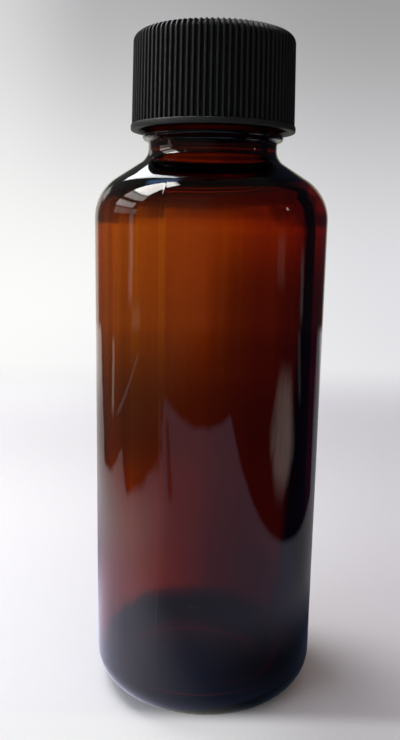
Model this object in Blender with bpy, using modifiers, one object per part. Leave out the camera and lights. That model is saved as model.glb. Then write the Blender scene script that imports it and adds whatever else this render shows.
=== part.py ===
"""An amber glass bottle with a ribbed screw cap and a sealing disc.

Lengths are in metres. The origin is the middle of the surface that the bottle stands on, and +Z runs up
its axis. The cap is screwed home: a turn counter-clockwise, seen from above, lifts it by one thread pitch.
"""

from math import asin, cos, degrees, pi, radians, sin, sqrt, tan

import bmesh
import bpy

MM = 0.001

# Gaps between the pieces
SEAT_GAP = 0.3 * MM
RIM_GAP = 0.3 * MM
THREAD_GAP = 0.3 * MM
CAP_PLAY = 0.3 * MM
LINER_PLAY = 0.3 * MM

# Outside of the glass body
BODY_RADIUS = 22.25 * MM
SIDE_HEIGHT = 94.2 * MM
SHOULDER_RADIUS = 8.9 * MM
SHOULDER_SLOPE = radians(32.2)
NECK_FILLET = 3.2 * MM
HEEL_RADIUS = 6.6 * MM
STANDING_RING_WIDTH = 1.6 * MM
BASE_PUSH_UP = 1.8 * MM

# Inside of the glass body
BODY_WALL = 2.4 * MM
BORE_RADIUS = 9.1 * MM
INNER_NECK_FILLET = 6.0 * MM
INNER_HEEL_RADIUS = 5.6 * MM
FLOOR_THICKNESS = 3.6 * MM
FLOOR_RISE = 1.4 * MM

# Neck finish, from the neck up to the lip
FINISH_RADIUS = 12.4 * MM
FINISH_HEIGHT = 15.05 * MM
NECK_WAIST = 0.25 * MM
NECK_LENGTH = 2.1 * MM
BEAD_REACH = 0.9 * MM
BEAD_HALF_HEIGHT = 0.7 * MM
BEAD_BLEND = 0.3 * MM
LIP_ROUND = 0.9 * MM

# Screw thread: right-hand, six turns to the inch, rounded ridges that share the pitch
THREAD_PITCH = 25.4 / 6 * MM
THREAD_HEIGHT = 1.05 * MM
THREAD_TO_LIP = 2.0 * MM
THREAD_RUN_OUT = 0.12
GLASS_THREAD_SHARE = 0.42
GLASS_THREAD_TURNS = 1.5
CAP_THREAD_SHARE = 0.33
CAP_THREAD_TURNS = 1.3
CAP_THREAD_LEAD = 0.2

# Cap, whose skirt wall is measured under the grooves at their foot
SKIRT_WALL = 1.0 * MM
FLANGE_OVERHANG = 0.2 * MM
FLANGE_HEIGHT = 1.1 * MM
FLANGE_EDGE = 0.25 * MM
RIB_COUNT = 90
RIB_DEPTH = 0.55 * MM
RIB_CREST_WIDTH = 0.38 * MM
GROOVE_FLOOR_WIDTH = 0.3 * MM
RIB_FADE_LENGTH = 0.6 * MM
SKIRT_DRAFT = radians(1.2)
CAP_CORNER = 1.6 * MM
CAP_TOP_THICKNESS = 1.5 * MM
MOUTH_CHAMFER = 0.5 * MM
LINER_STOP = 0.45 * MM

# Liner
LINER_THICKNESS = 1.0 * MM
LINER_EDGE = 0.12 * MM

# Fineness of the meshes, and how far one shape is sunk into or past the next
GLASS_STEPS = 56
CAP_STEPS = 60
THREAD_STEPS = 40
SHARP_ANGLE = radians(35)
MERGE = 0.005 * MM
SINK = 0.15 * MM
OVERCUT = 1.0 * MM


def arc(centre, radius, start, end, count):
    """Points of a circle from one angle to another, in degrees from +X towards +Z, both ends included."""
    angles = [radians(start + (end - start) * i / (count - 1)) for i in range(count)]
    return [(centre[0] + radius * cos(a), centre[1] + radius * sin(a)) for a in angles]


def dome(edge_radius, edge_height, rise, count):
    """Points of a shallow arc from its edge up to the axis."""
    radius = (edge_radius**2 + rise**2) / (2 * rise)
    edge_angle = degrees(asin(edge_radius / radius))
    points = arc((0, edge_height + rise - radius), radius, 90 - edge_angle, 90, count)
    return points[:-1] + [(0, edge_height + rise)]


def shoulder(side_radius, corner_radius, neck_radius, fillet_radius):
    """Points from the foot of a straight neck down to the top of the straight side.

    The shoulder turns over in an arc whose centre is level with the top of the side. A straight slope
    touches that arc and the fillet under the neck.
    """
    corner_x = side_radius - corner_radius
    fillet_x = neck_radius + fillet_radius
    reach = corner_radius + fillet_radius
    rise = (reach - (fillet_x - corner_x) * sin(SHOULDER_SLOPE)) / cos(SHOULDER_SLOPE)
    turn = 90 - degrees(SHOULDER_SLOPE)
    fillet = arc((fillet_x, SIDE_HEIGHT + rise), fillet_radius, 180, 180 + turn, 5)
    return fillet + arc((corner_x, SIDE_HEIGHT), corner_radius, turn, 0, 7)


# Radii that follow from the neck finish outwards
NECK_RADIUS = FINISH_RADIUS - NECK_WAIST
BEAD_RADIUS = FINISH_RADIUS + BEAD_REACH
CAP_INNER_RADIUS = FINISH_RADIUS + THREAD_HEIGHT + CAP_PLAY
RIB_RADIUS = CAP_INNER_RADIUS + SKIRT_WALL + RIB_DEPTH
FLANGE_RADIUS = RIB_RADIUS + FLANGE_OVERHANG

# Heights above the surface that the bottle stands on, worked out from the neck upwards
OUTER_SHOULDER = shoulder(BODY_RADIUS, SHOULDER_RADIUS, NECK_RADIUS, NECK_FILLET)
BEAD_Z = OUTER_SHOULDER[0][1] + NECK_LENGTH
LIP_Z = BEAD_Z + FINISH_HEIGHT
THREAD_TOP_Z = LIP_Z - THREAD_TO_LIP
LINER_Z = LIP_Z + SEAT_GAP
CAP_CEILING_Z = LINER_Z + LINER_THICKNESS + SEAT_GAP
CAP_RIM_Z = BEAD_Z + BEAD_HALF_HEIGHT + RIM_GAP

# The cap in its own frame, whose origin is the middle of its rim
CAP_CEILING = CAP_CEILING_Z - CAP_RIM_Z
CAP_HEIGHT = CAP_CEILING + CAP_TOP_THICKNESS
CORNER_Z = CAP_HEIGHT - CAP_CORNER
CORNER_EDGE_Z = CORNER_Z + CAP_CORNER * sin(SKIRT_DRAFT)
CORNER_EDGE_X = RIB_RADIUS - (CORNER_EDGE_Z - FLANGE_HEIGHT) * tan(SKIRT_DRAFT)
CORNER_X = CORNER_EDGE_X - CAP_CORNER * cos(SKIRT_DRAFT)

# The two threads: half widths, axes of the round ridges, and how far the cap's lies under the glass's
GLASS_THREAD_HALF = GLASS_THREAD_SHARE * THREAD_PITCH / 2
CAP_THREAD_HALF = CAP_THREAD_SHARE * THREAD_PITCH / 2
GLASS_THREAD_AXIS = FINISH_RADIUS + THREAD_HEIGHT - GLASS_THREAD_HALF
CAP_THREAD_AXIS = CAP_INNER_RADIUS - THREAD_HEIGHT + CAP_THREAD_HALF
THREAD_APART = GLASS_THREAD_HALF + CAP_THREAD_HALF + THREAD_GAP
THREAD_DROP = sqrt(THREAD_APART**2 - (CAP_THREAD_AXIS - GLASS_THREAD_AXIS) ** 2)


def clear_scene():
    for thing in list(bpy.data.objects):
        bpy.data.objects.remove(thing)


def new_group(name):
    group = bpy.data.collections.new(name)
    bpy.context.scene.collection.children.link(group)
    return group


def new_material(name, colour, roughness, transmission=0.0):
    material = bpy.data.materials.new(name)
    material.use_nodes = True
    shader = material.node_tree.nodes["Principled BSDF"]
    shader.inputs["Base Color"].default_value = (*colour, 1)
    shader.inputs["Roughness"].default_value = roughness
    shader.inputs["Metallic"].default_value = 0
    shader.inputs["Transmission Weight"].default_value = transmission
    return material


def place(thing, group, carrier):
    group.objects.link(thing)
    thing.parent = carrier
    return thing


def turned(name, profile, steps, group, carrier=None):
    """A solid turned from a half profile in the XZ plane that starts and ends on the axis."""
    mesh = bpy.data.meshes.new(name)
    edges = [(i, i + 1) for i in range(len(profile) - 1)]
    mesh.from_pydata([(x, 0, z) for x, z in profile], edges, [])
    piece = place(bpy.data.objects.new(name, mesh), group, carrier)
    turn = piece.modifiers.new("Turn", "SCREW")
    turn.steps = steps
    turn.render_steps = steps
    turn.use_merge_vertices = True
    turn.merge_threshold = MERGE
    return piece


def as_helper(piece):
    piece.hide_render = True
    piece.display_type = "WIRE"
    return piece


def combine(piece, helper, operation):
    step = piece.modifiers.new(helper.name, "BOOLEAN")
    step.operation = operation
    step.solver = "EXACT"
    step.object = as_helper(helper)


def weld(mesh):
    shape = bmesh.new()
    shape.from_mesh(mesh)
    bmesh.ops.remove_doubles(shape, verts=shape.verts, dist=MERGE)
    bmesh.ops.recalc_face_normals(shape, faces=shape.faces)
    shape.to_mesh(mesh)
    shape.free()


def evaluated_mesh(thing):
    bpy.context.view_layer.update()
    graph = bpy.context.evaluated_depsgraph_get()
    return bpy.data.meshes.new_from_object(thing.evaluated_get(graph))


def as_mesh_object(curve, group, carrier):
    """The curve as a welded mesh object in the same place, so that a Boolean can use it."""
    mesh = evaluated_mesh(curve)
    weld(mesh)
    solid = place(bpy.data.objects.new(curve.name, mesh), group, carrier)
    bpy.context.view_layer.update()
    solid.matrix_world = curve.matrix_world.copy()
    bpy.data.objects.remove(curve)
    return solid


def thread_ridge(name, wall, side, half_width, top, first_turn, turns, group, carrier=None):
    """A right-hand thread ridge that runs down a round wall, out of it with side 1 and into it with -1.

    The ridge is a round bar on a helix. At both ends it thins and sinks below the surface of the wall.
    """
    data = bpy.data.curves.new(name, "CURVE")
    data.dimensions = "3D"
    data.bevel_depth = half_width
    data.bevel_resolution = 2
    data.use_fill_caps = True
    spline = data.splines.new("POLY")
    count = round(turns * THREAD_STEPS) + 1
    spline.points.add(count - 1)
    for i, point in enumerate(spline.points):
        run = turns * i / (count - 1)
        fade = min(1, run / THREAD_RUN_OUT, (turns - run) / THREAD_RUN_OUT)
        thickness = 0.5 + 0.5 * fade
        height = (THREAD_HEIGHT + SINK) * sin(fade * pi / 2) - SINK
        radius = wall + side * (height - half_width * thickness)
        angle = -2 * pi * (first_turn + run)
        level = top - THREAD_PITCH * (first_turn + run)
        point.co = (radius * cos(angle), radius * sin(angle), level, 1)
        point.radius = thickness
    curve = place(bpy.data.objects.new(name, data), group, carrier)
    return as_mesh_object(curve, group, carrier)


def glass_profile():
    """Half profile of the glass, from the middle of the inner floor round to the middle of the base."""
    wall_radius = BODY_RADIUS - BODY_WALL
    inner_heel = (wall_radius - INNER_HEEL_RADIUS, FLOOR_THICKNESS + INNER_HEEL_RADIUS)
    inner_corner = SHOULDER_RADIUS - BODY_WALL
    inside = dome(inner_heel[0], FLOOR_THICKNESS, FLOOR_RISE, 4)[::-1]
    inside += arc(inner_heel, INNER_HEEL_RADIUS, -90, 0, 5)[1:]
    inside += shoulder(wall_radius, inner_corner, BORE_RADIUS, INNER_NECK_FILLET)[::-1]

    lip = arc((BORE_RADIUS + LIP_ROUND, LIP_Z - LIP_ROUND), LIP_ROUND, 180, 90, 4)
    lip += arc((FINISH_RADIUS - LIP_ROUND, LIP_Z - LIP_ROUND), LIP_ROUND, 90, 0, 4)

    bead_reach = BEAD_HALF_HEIGHT + BEAD_BLEND
    bead = [(FINISH_RADIUS, BEAD_Z + bead_reach)]
    bead += arc((BEAD_RADIUS - BEAD_HALF_HEIGHT, BEAD_Z), BEAD_HALF_HEIGHT, 70, -70, 5)
    bead += [(NECK_RADIUS, BEAD_Z - bead_reach)]

    ring_outside = BODY_RADIUS - HEEL_RADIUS
    foot = arc((ring_outside, HEEL_RADIUS), HEEL_RADIUS, 0, -90, 7)
    foot += dome(ring_outside - STANDING_RING_WIDTH, 0, BASE_PUSH_UP, 4)
    return inside + lip + bead + OUTER_SHOULDER + foot


def make_bottle(group, helpers):
    bottle = turned("glass_bottle", glass_profile(), GLASS_STEPS, group)
    thread = thread_ridge(
        "glass_thread",
        FINISH_RADIUS,
        1,
        GLASS_THREAD_HALF,
        THREAD_TOP_Z,
        0,
        GLASS_THREAD_TURNS,
        helpers,
    )
    combine(bottle, thread, "UNION")
    return bottle


def skirt_profile(inset):
    """The corner of the top and the drafted skirt down into the flange, moved in from the rib crests."""
    points = arc((CORNER_X, CORNER_Z), CAP_CORNER - inset, 90, degrees(SKIRT_DRAFT), 4)
    x, z = points[-1]
    foot = FLANGE_HEIGHT / 2
    return points + [(x + (z - foot) * tan(SKIRT_DRAFT), foot)]


def rib_ring(shape, crest, root):
    """One level of the ribs: each has two corners on its crest, and each groove two on its floor."""
    pitch = 2 * pi / RIB_COUNT
    crest_turn = RIB_CREST_WIDTH / 2 / RIB_RADIUS
    floor_turn = GROOVE_FLOOR_WIDTH / 2 / RIB_RADIUS
    ring = []
    for rib in range(RIB_COUNT):
        middle = rib * pitch
        corners = (
            (middle - crest_turn, crest),
            (middle + crest_turn, crest),
            (middle + pitch / 2 - floor_turn, root),
            (middle + pitch / 2 + floor_turn, root),
        )
        ring += [shape.verts.new((x * cos(a), x * sin(a), z)) for a, (x, z) in corners]
    return ring


def ribbed_plug(name, group):
    """The cap's ribbed outside as a solid: a loft from the ribs' foot, over the corner, to the plain top."""
    shape = bmesh.new()
    levels = list(zip(skirt_profile(0), skirt_profile(RIB_DEPTH)))[::-1]
    plain_edge = (CORNER_X - RIB_FADE_LENGTH, CAP_HEIGHT)
    levels.append((plain_edge, plain_edge))
    rings = [rib_ring(shape, crest, root) for crest, root in levels]
    for lower, upper in zip(rings, rings[1:]):
        for i in range(len(lower)):
            shape.faces.new((lower[i - 1], lower[i], upper[i], upper[i - 1]))
    shape.faces.new(rings[0][::-1])
    shape.faces.new(rings[-1])
    mesh = bpy.data.meshes.new(name)
    shape.to_mesh(mesh)
    shape.free()
    return place(bpy.data.objects.new(name, mesh), group, None)


def flange_profile():
    """The plain band at the foot of the ribs, with its edges broken."""
    return [
        (0, FLANGE_HEIGHT),
        (FLANGE_RADIUS - FLANGE_EDGE, FLANGE_HEIGHT),
        (FLANGE_RADIUS, FLANGE_HEIGHT - FLANGE_EDGE),
        (FLANGE_RADIUS, FLANGE_EDGE),
        (FLANGE_RADIUS - FLANGE_EDGE, 0),
        (0, 0),
    ]


def cavity_profile():
    """The hollow of the cap, with the small inner ring that keeps the liner from falling out."""
    stop_top = LINER_Z - CAP_RIM_Z - SEAT_GAP
    return [
        (0, CAP_CEILING),
        (CAP_INNER_RADIUS, CAP_CEILING),
        (CAP_INNER_RADIUS, stop_top),
        (CAP_INNER_RADIUS - LINER_STOP, stop_top - LINER_STOP),
        (CAP_INNER_RADIUS, stop_top - 2 * LINER_STOP),
        (CAP_INNER_RADIUS, MOUTH_CHAMFER),
        (CAP_INNER_RADIUS + MOUTH_CHAMFER + OVERCUT, -OVERCUT),
        (0, -OVERCUT),
    ]


def make_cap(carrier, group, helpers):
    cap = ribbed_plug("screw_cap", group)
    cap.parent = carrier
    combine(cap, turned("cap_flange", flange_profile(), CAP_STEPS, helpers, carrier), "UNION")
    combine(cap, turned("cap_cavity", cavity_profile(), CAP_STEPS, helpers, carrier), "DIFFERENCE")
    thread = thread_ridge(
        "cap_thread",
        CAP_INNER_RADIUS,
        -1,
        CAP_THREAD_HALF,
        THREAD_TOP_Z - THREAD_DROP - CAP_RIM_Z,
        -CAP_THREAD_LEAD,
        CAP_THREAD_TURNS,
        helpers,
        carrier,
    )
    combine(cap, thread, "UNION")
    return cap


def make_liner(carrier, group):
    radius = CAP_INNER_RADIUS - LINER_PLAY
    profile = [
        (0, LINER_THICKNESS),
        (radius - LINER_EDGE, LINER_THICKNESS),
        (radius, LINER_THICKNESS - LINER_EDGE),
        (radius, LINER_EDGE),
        (radius - LINER_EDGE, 0),
        (0, 0),
    ]
    liner = turned("cap_liner", profile, CAP_STEPS, group, carrier)
    liner.location.z = LINER_Z - CAP_RIM_Z
    return liner


def finish(piece, material):
    """Keeps what the modifiers made as the piece's mesh, smooth but for its sharp edges."""
    mesh = evaluated_mesh(piece)
    piece.modifiers.clear()
    piece.data = mesh
    mesh.materials.clear()
    mesh.materials.append(material)
    mesh.shade_smooth()
    mesh.set_sharp_from_angle(angle=SHARP_ANGLE)


def main():
    clear_scene()
    group = new_group("amber_glass_bottle")
    helpers = new_group("helper_shapes")
    glass = new_material("amber_glass", (0.34, 0.075, 0.008), 0.03, transmission=1.0)
    plastic = new_material("black_plastic", (0.012, 0.013, 0.014), 0.45)
    foam = new_material("liner_foam", (0.72, 0.71, 0.68), 0.7)

    finish(make_bottle(group, helpers), glass)
    carrier = place(bpy.data.objects.new("cap_joint", None), group, None)
    carrier.location.z = CAP_RIM_Z
    finish(make_cap(carrier, group, helpers), plastic)
    finish(make_liner(carrier, group), foam)


main()
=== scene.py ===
"""An amber glass bottle with a finely ribbed black screw cap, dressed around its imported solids.

Lengths are in metres, the angles that set a shape or a place in degrees, and +Z runs up the axis of the
bottle. Each moulding is a closed skin turned ring by ring round that axis, fine enough for clean
reflections and refraction, with its ribs, threads, mould seams and the slight unevenness of its walls in
the rings themselves.
"""

import logging
from dataclasses import dataclass
from enum import Enum
from math import asin, cos, degrees, hypot, pi, radians, sin, tan
from typing import Any

import bmesh
import bpy
import numpy as np
from mathutils import Matrix, Vector


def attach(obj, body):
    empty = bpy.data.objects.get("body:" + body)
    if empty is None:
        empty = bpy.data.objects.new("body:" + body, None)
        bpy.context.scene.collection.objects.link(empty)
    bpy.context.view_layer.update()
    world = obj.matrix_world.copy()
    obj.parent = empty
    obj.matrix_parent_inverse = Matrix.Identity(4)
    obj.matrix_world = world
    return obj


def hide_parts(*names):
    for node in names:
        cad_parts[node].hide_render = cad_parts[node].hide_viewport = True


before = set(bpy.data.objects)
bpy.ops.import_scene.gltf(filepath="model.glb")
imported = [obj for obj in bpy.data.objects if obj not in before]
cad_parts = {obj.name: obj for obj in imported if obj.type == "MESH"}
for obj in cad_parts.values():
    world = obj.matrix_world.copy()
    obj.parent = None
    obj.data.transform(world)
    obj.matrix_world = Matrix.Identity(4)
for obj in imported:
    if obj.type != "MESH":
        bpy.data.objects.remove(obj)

log = logging.getLogger("amber_bottle")

MM = 0.001
REST_GAP = 0.3 * MM
Point = tuple[float, float]
Span = tuple[float, float]
Triple = tuple[float, float, float]
Colour = Triple
# The inputs of a mix node that take its two colours.
MIX_COLOURS = (6, 7)


class Body(Enum):
    """The bodies that the pieces ride on."""

    BOTTLE = "bottle"
    LINER = "liner"
    CAP = "cap"


class Slot(Enum):
    """The material slots of the record."""

    GLASS = "amber_glass"
    PLASTIC = "black_plastic"
    FOAM = "liner_foam"


class Side(Enum):
    """The side of a round wall that a thread stands on."""

    OUTSIDE = 1
    INSIDE = -1


class Zone(Enum):
    """The stretches of the bottle's skin, which differ in how even they are."""

    INNER_WALL = "inner wall"
    BORE = "bore"
    FINISH = "finish"
    OUTER_WALL = "outer wall"
    BASE = "base"


# Shader arithmetic


class Signal:
    """A socket of a node tree that takes part in Python expressions."""

    def __init__(self, shading: "Shading", socket: bpy.types.NodeSocket) -> None:
        """Keeps the tree and the socket."""
        self.shading = shading
        self.socket = socket

    def _math(self, operation: str, first: "Value", second: "Value" = 0.0) -> "Signal":
        """A Math node on one or two values."""
        return self.shading.add("ShaderNodeMath", {"operation": operation}, {0: first, 1: second})

    def __add__(self, other: "Value") -> "Signal":
        """self + other."""
        return self._math("ADD", self, other)

    def __radd__(self, other: "Value") -> "Signal":
        """other + self."""
        return self._math("ADD", other, self)

    def __sub__(self, other: "Value") -> "Signal":
        """self - other."""
        return self._math("SUBTRACT", self, other)

    def __rsub__(self, other: "Value") -> "Signal":
        """other - self."""
        return self._math("SUBTRACT", other, self)

    def __mul__(self, other: "Value") -> "Signal":
        """self * other."""
        return self._math("MULTIPLY", self, other)

    def __rmul__(self, other: "Value") -> "Signal":
        """other * self."""
        return self._math("MULTIPLY", other, self)

    def __truediv__(self, other: "Value") -> "Signal":
        """self / other."""
        return self._math("DIVIDE", self, other)

    def __rtruediv__(self, other: "Value") -> "Signal":
        """other / self."""
        return self._math("DIVIDE", other, self)

    def __pow__(self, other: "Value") -> "Signal":
        """self ** other."""
        return self._math("POWER", self, other)

    def __rpow__(self, other: "Value") -> "Signal":
        """other ** self."""
        return self._math("POWER", other, self)

    def __abs__(self) -> "Signal":
        """abs(self)."""
        return self._math("ABSOLUTE", self)


Value = Signal | float | tuple


def off_axis(x: Signal, y: Signal) -> Signal:
    """How far a place lies from the axis."""
    return (x**2 + y**2) ** 0.5


class Shading:
    """The node tree of one material or world."""

    def __init__(self, tree: bpy.types.NodeTree) -> None:
        """Takes over a node tree and empties it.

        Args:
            tree: the tree of a material or world that uses nodes.
        """
        self.tree = tree
        tree.nodes.clear()

    @classmethod
    def of_material(cls, name: str) -> tuple[bpy.types.Material, "Shading"]:
        """Starts a material.

        Args:
            name: the material's name.

        Returns:
            The material and its shading.
        """
        material = bpy.data.materials.new(name)
        material.use_nodes = True
        return material, cls(material.node_tree)

    def _node(
        self, kind: str, settings: dict[str, Any], sockets: dict[str | int, Value]
    ) -> bpy.types.Node:
        """Makes a node.

        Args:
            kind: the node's type.
            settings: its properties, set before its sockets; "stops" holds a ramp's positions and colours.
            sockets: a value or a link for each named or numbered input.

        Returns:
            The node.
        """
        node = self.tree.nodes.new(kind)
        for name, value in settings.items():
            if name == "stops":
                self._set_stops(node.color_ramp, value)
            else:
                setattr(node, name, value)
        for key, value in sockets.items():
            if isinstance(value, Signal):
                self.tree.links.new(value.socket, node.inputs[key])
            else:
                node.inputs[key].default_value = value
        return node

    def add(
        self,
        kind: str,
        settings: dict[str, Any] | None = None,
        sockets: dict[str | int, Value] | None = None,
        output: str | int = 0,
    ) -> Signal:
        """Adds a node.

        Args:
            kind: the node's type.
            settings: its properties, or none to leave them as they come.
            sockets: a value or a link for each named or numbered input, or none.
            output: the output that the result stands for.

        Returns:
            That output as a signal.
        """
        return Signal(self, self._node(kind, settings or {}, sockets or {}).outputs[output])

    @staticmethod
    def _set_stops(ramp: bpy.types.ColorRamp, stops: list[tuple[float, Colour]]) -> None:
        """Gives a ramp its stops.

        Args:
            ramp: the ramp of a new node, which has two stops.
            stops: positions from 0 to 1 with their colours.
        """
        while len(ramp.elements) < len(stops):
            ramp.elements.new(0.5)
        for element, (position, colour) in zip(ramp.elements, stops):
            element.position = position
            element.color = (*colour, 1)

    def place(self) -> Signal:
        """The point being shaded, in the object's own metres."""
        return self.add("ShaderNodeTexCoord", output="Object")

    def ray(self, kind: str) -> Signal:
        """1 for rays of one kind, such as Is Glossy Ray."""
        return self.add("ShaderNodeLightPath", output=kind)

    def split(self, vector: Signal) -> list[Signal]:
        """The three parts of a vector."""
        return [Signal(self, part) for part in self._node("ShaderNodeSeparateXYZ", {}, {0: vector}).outputs]

    def stretched(self, vector: Signal, scale: Triple) -> Signal:
        """The vector with each axis scaled, which stretches a texture along the axes scaled least."""
        return self.add("ShaderNodeVectorMath", {"operation": "MULTIPLY"}, {0: vector, 1: scale}, "Vector")

    def angle(self, across: Signal, along: Signal) -> Signal:
        """The angle from along towards across, in degrees."""
        return self.add("ShaderNodeMath", {"operation": "ARCTAN2"}, {0: across, 1: along}) * degrees(1)

    def least(self, first: Value, second: Value) -> Signal:
        """The lesser of two values."""
        return self.add("ShaderNodeMath", {"operation": "MINIMUM"}, {0: first, 1: second})

    def most(self, first: Value, second: Value) -> Signal:
        """The greater of two values."""
        return self.add("ShaderNodeMath", {"operation": "MAXIMUM"}, {0: first, 1: second})

    def noise(self, vector: Signal, scale: float, detail: float = 2.0, rough: float = 0.5) -> Signal:
        """A noise value from 0 to 1.

        Args:
            vector: where to read it.
            scale: features per metre.
            detail: octaves.
            rough: how strong the finer octaves are.

        Returns:
            The value.
        """
        sockets = {"Vector": vector, "Scale": scale, "Detail": detail, "Roughness": rough}
        return self.add("ShaderNodeTexNoise", {"noise_dimensions": "3D"}, sockets, "Fac")

    def rise(self, value: Value, low: float, high: float, to: Span = (0.0, 1.0)) -> Signal:
        """A smooth step of a value.

        Args:
            value: what is stepped.
            low: where the step starts.
            high: where it ends, which may lie under low.
            to: the results before and after it.

        Returns:
            The stepped value.
        """
        sockets = {"Value": value, "From Min": low, "From Max": high, "To Min": to[0], "To Max": to[1]}
        return self.add("ShaderNodeMapRange", {"interpolation_type": "SMOOTHSTEP"}, sockets)

    def read(self, value: Signal, table: tuple[Point, ...]) -> Signal:
        """A level read off a table, straight between its rows.

        Args:
            value: where to read it.
            table: places in rising order, each with its level from 0 to 1.

        Returns:
            The level.
        """
        start, end = table[0][0], table[-1][0]
        stops = [((place - start) / (end - start), (level,) * 3) for place, level in table]
        level = self.add("ShaderNodeValToRGB", {"stops": stops}, {0: (value - start) / (end - start)})
        return self.add("ShaderNodeSeparateColor", None, {0: level}, "Red")

    def mix(self, factor: Value, first: Value, second: Value) -> Signal:
        """A colour between two others.

        Args:
            factor: 0 for the first, 1 for the second.
            first: a colour.
            second: another.

        Returns:
            The colour.
        """
        first = first if isinstance(first, Signal) else (*first, 1)
        second = second if isinstance(second, Signal) else (*second, 1)
        sockets = {0: factor, MIX_COLOURS[0]: first, MIX_COLOURS[1]: second}
        return self.add("ShaderNodeMix", {"data_type": "RGBA"}, sockets, 2)

    def bump(self, height: Value, distance: float) -> Signal:
        """A normal bumped by a relief from 0 to 1, where 1 stands for a distance in metres."""
        sockets = {"Height": height, "Distance": distance, "Strength": 1.0}
        return self.add("ShaderNodeBump", None, sockets, "Normal")

    def glow(self, colour: Value, strength: float = 1.0) -> Signal:
        """A shader that shines in a colour."""
        return self.add("ShaderNodeEmission", None, {"Color": colour, "Strength": strength})

    def choose(self, factor: Signal, first: Signal, second: Signal) -> Signal:
        """The first shader where the factor is 0 and the second where it is 1."""
        return self.add("ShaderNodeMixShader", None, {0: factor, 1: first, 2: second})

    def finish_with(
        self, surface: Signal, volume: Signal | None = None, output: str = "ShaderNodeOutputMaterial"
    ) -> None:
        """Adds the output that ends a tree.

        Args:
            surface: the surface shader.
            volume: the shader of what the surface encloses.
            output: the type of the output, which is another one for a world.
        """
        sockets: dict[str | int, Value] = {"Surface": surface}
        if volume is not None:
            sockets["Volume"] = volume
        self._node(output, {}, sockets)


# Finishes


@dataclass(frozen=True)
class AmberGlass:
    """Polished moulded amber glass, which darkens with the length of glass that light crosses.

    Golden streak lines run down it, a painted highlight, each an angle, a half width in degrees and a
    strength. Scales are features per metre.
    """

    name: str = "amber_glass"
    refraction: float = 1.52
    passed_colour: Colour = (0.8864, 0.692, 0.0)
    density: float = 1800.0
    skin_tint: Colour = (0.90, 0.70, 0.62)
    neck_painted_shade: Colour = (0.38, 0.24, 0.2)
    neck_heights: Span = (103.2 * MM, 105.2 * MM)
    painted_streaks: tuple[Triple, ...] = (
        (-150.0, 1.6, 0.5),
        (-139.0, 2.0, 1.0),
        (-127.0, 1.7, 1.0),
        (-122.0, 0.8, 0.4),
        (-112.4, 1.0, 1.0),
        (-101.0, 1.2, 0.3),
        (-84.0, 1.5, 0.35),
        (-62.0, 1.2, 0.3),
        (20.0, 1.6, 0.5),
        (67.6, 0.8, 0.9),
        (121.0, 2.2, 0.6),
    )
    streak_core: float = 0.35
    streak_waver: float = 1.2
    streak_heights: Span = (38 * MM, 68 * MM)
    streak_shares: Span = (0.25, 1.0)
    strand_scale: float = 900.0
    strand_stretch: Triple = (1, 1, 0.03)
    strand_share: float = 0.4
    broad_scale: float = 60.0
    film_roughness: Span = (0.0, 0.05)
    washboard_scale: float = 420.0
    washboard_stretch: Triple = (0.15, 0.15, 1)
    washboard_share: float = 0.25
    peel_scale: float = 110.0
    peaks: Span = (0.5, 0.8)
    ripple: float = 0.005 * MM

    def material(self) -> bpy.types.Material:
        """Makes the glass, with a faint film of handling and the ripple of the mould.

        Returns:
            The material.
        """
        material, shading = Shading.of_material(self.name)
        place = shading.place()
        film = shading.rise(shading.noise(place, self.broad_scale, 3, 0.6), *self.peaks)
        smooth, smeared = self.film_roughness
        # the golden streak lines are a painted highlight that lightens the glass's tint
        tint = shading.mix(self._painted_streaks_and_strands(shading, place), self.skin_tint, (1, 1, 1))
        height = shading.split(place)[2]
        # painted shade: the glass's tint is darker over the neck
        tint = shading.mix(shading.rise(height, *self.neck_heights), tint, self.neck_painted_shade)
        washboard = shading.noise(shading.stretched(place, self.washboard_stretch), self.washboard_scale, 0)
        peel = shading.noise(place, self.peel_scale, 0)
        relief = washboard * self.washboard_share + peel * (1 - self.washboard_share)
        shader = shading.add(
            "ShaderNodeBsdfPrincipled",
            None,
            {
                "Base Color": tint,
                "Roughness": film * (smeared - smooth) + smooth,
                "IOR": self.refraction,
                "Transmission Weight": 1.0,
                "Normal": shading.bump(relief, self.ripple),
            },
        )
        sockets = {"Color": (*self.passed_colour, 1), "Density": self.density}
        shading.finish_with(shader, shading.add("ShaderNodeVolumeAbsorption", None, sockets))
        return material

    def _painted_streaks_and_strands(self, shading: Shading, place: Signal) -> Signal:
        """How much of a golden streak, a painted highlight, lies at a place, with fine strands all round
        between them.

        Args:
            shading: the tree that asks.
            place: the place.

        Returns:
            A share from 0 to 1.
        """
        x, y, z = shading.split(place)
        turn = shading.angle(y, x) + (shading.noise(place, self.broad_scale, 1) - 0.5) * self.streak_waver
        strands = shading.noise(shading.stretched(place, self.strand_stretch), self.strand_scale, 2)
        found = shading.rise(strands, *self.peaks) * self.strand_share
        for angle, half_width, strength in self.painted_streaks:
            core = half_width * self.streak_core
            found = found + shading.rise(abs(turn - angle), half_width, core) * strength
        return shading.least(found * shading.rise(z, *self.streak_heights, self.streak_shares), 1.0)


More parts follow.
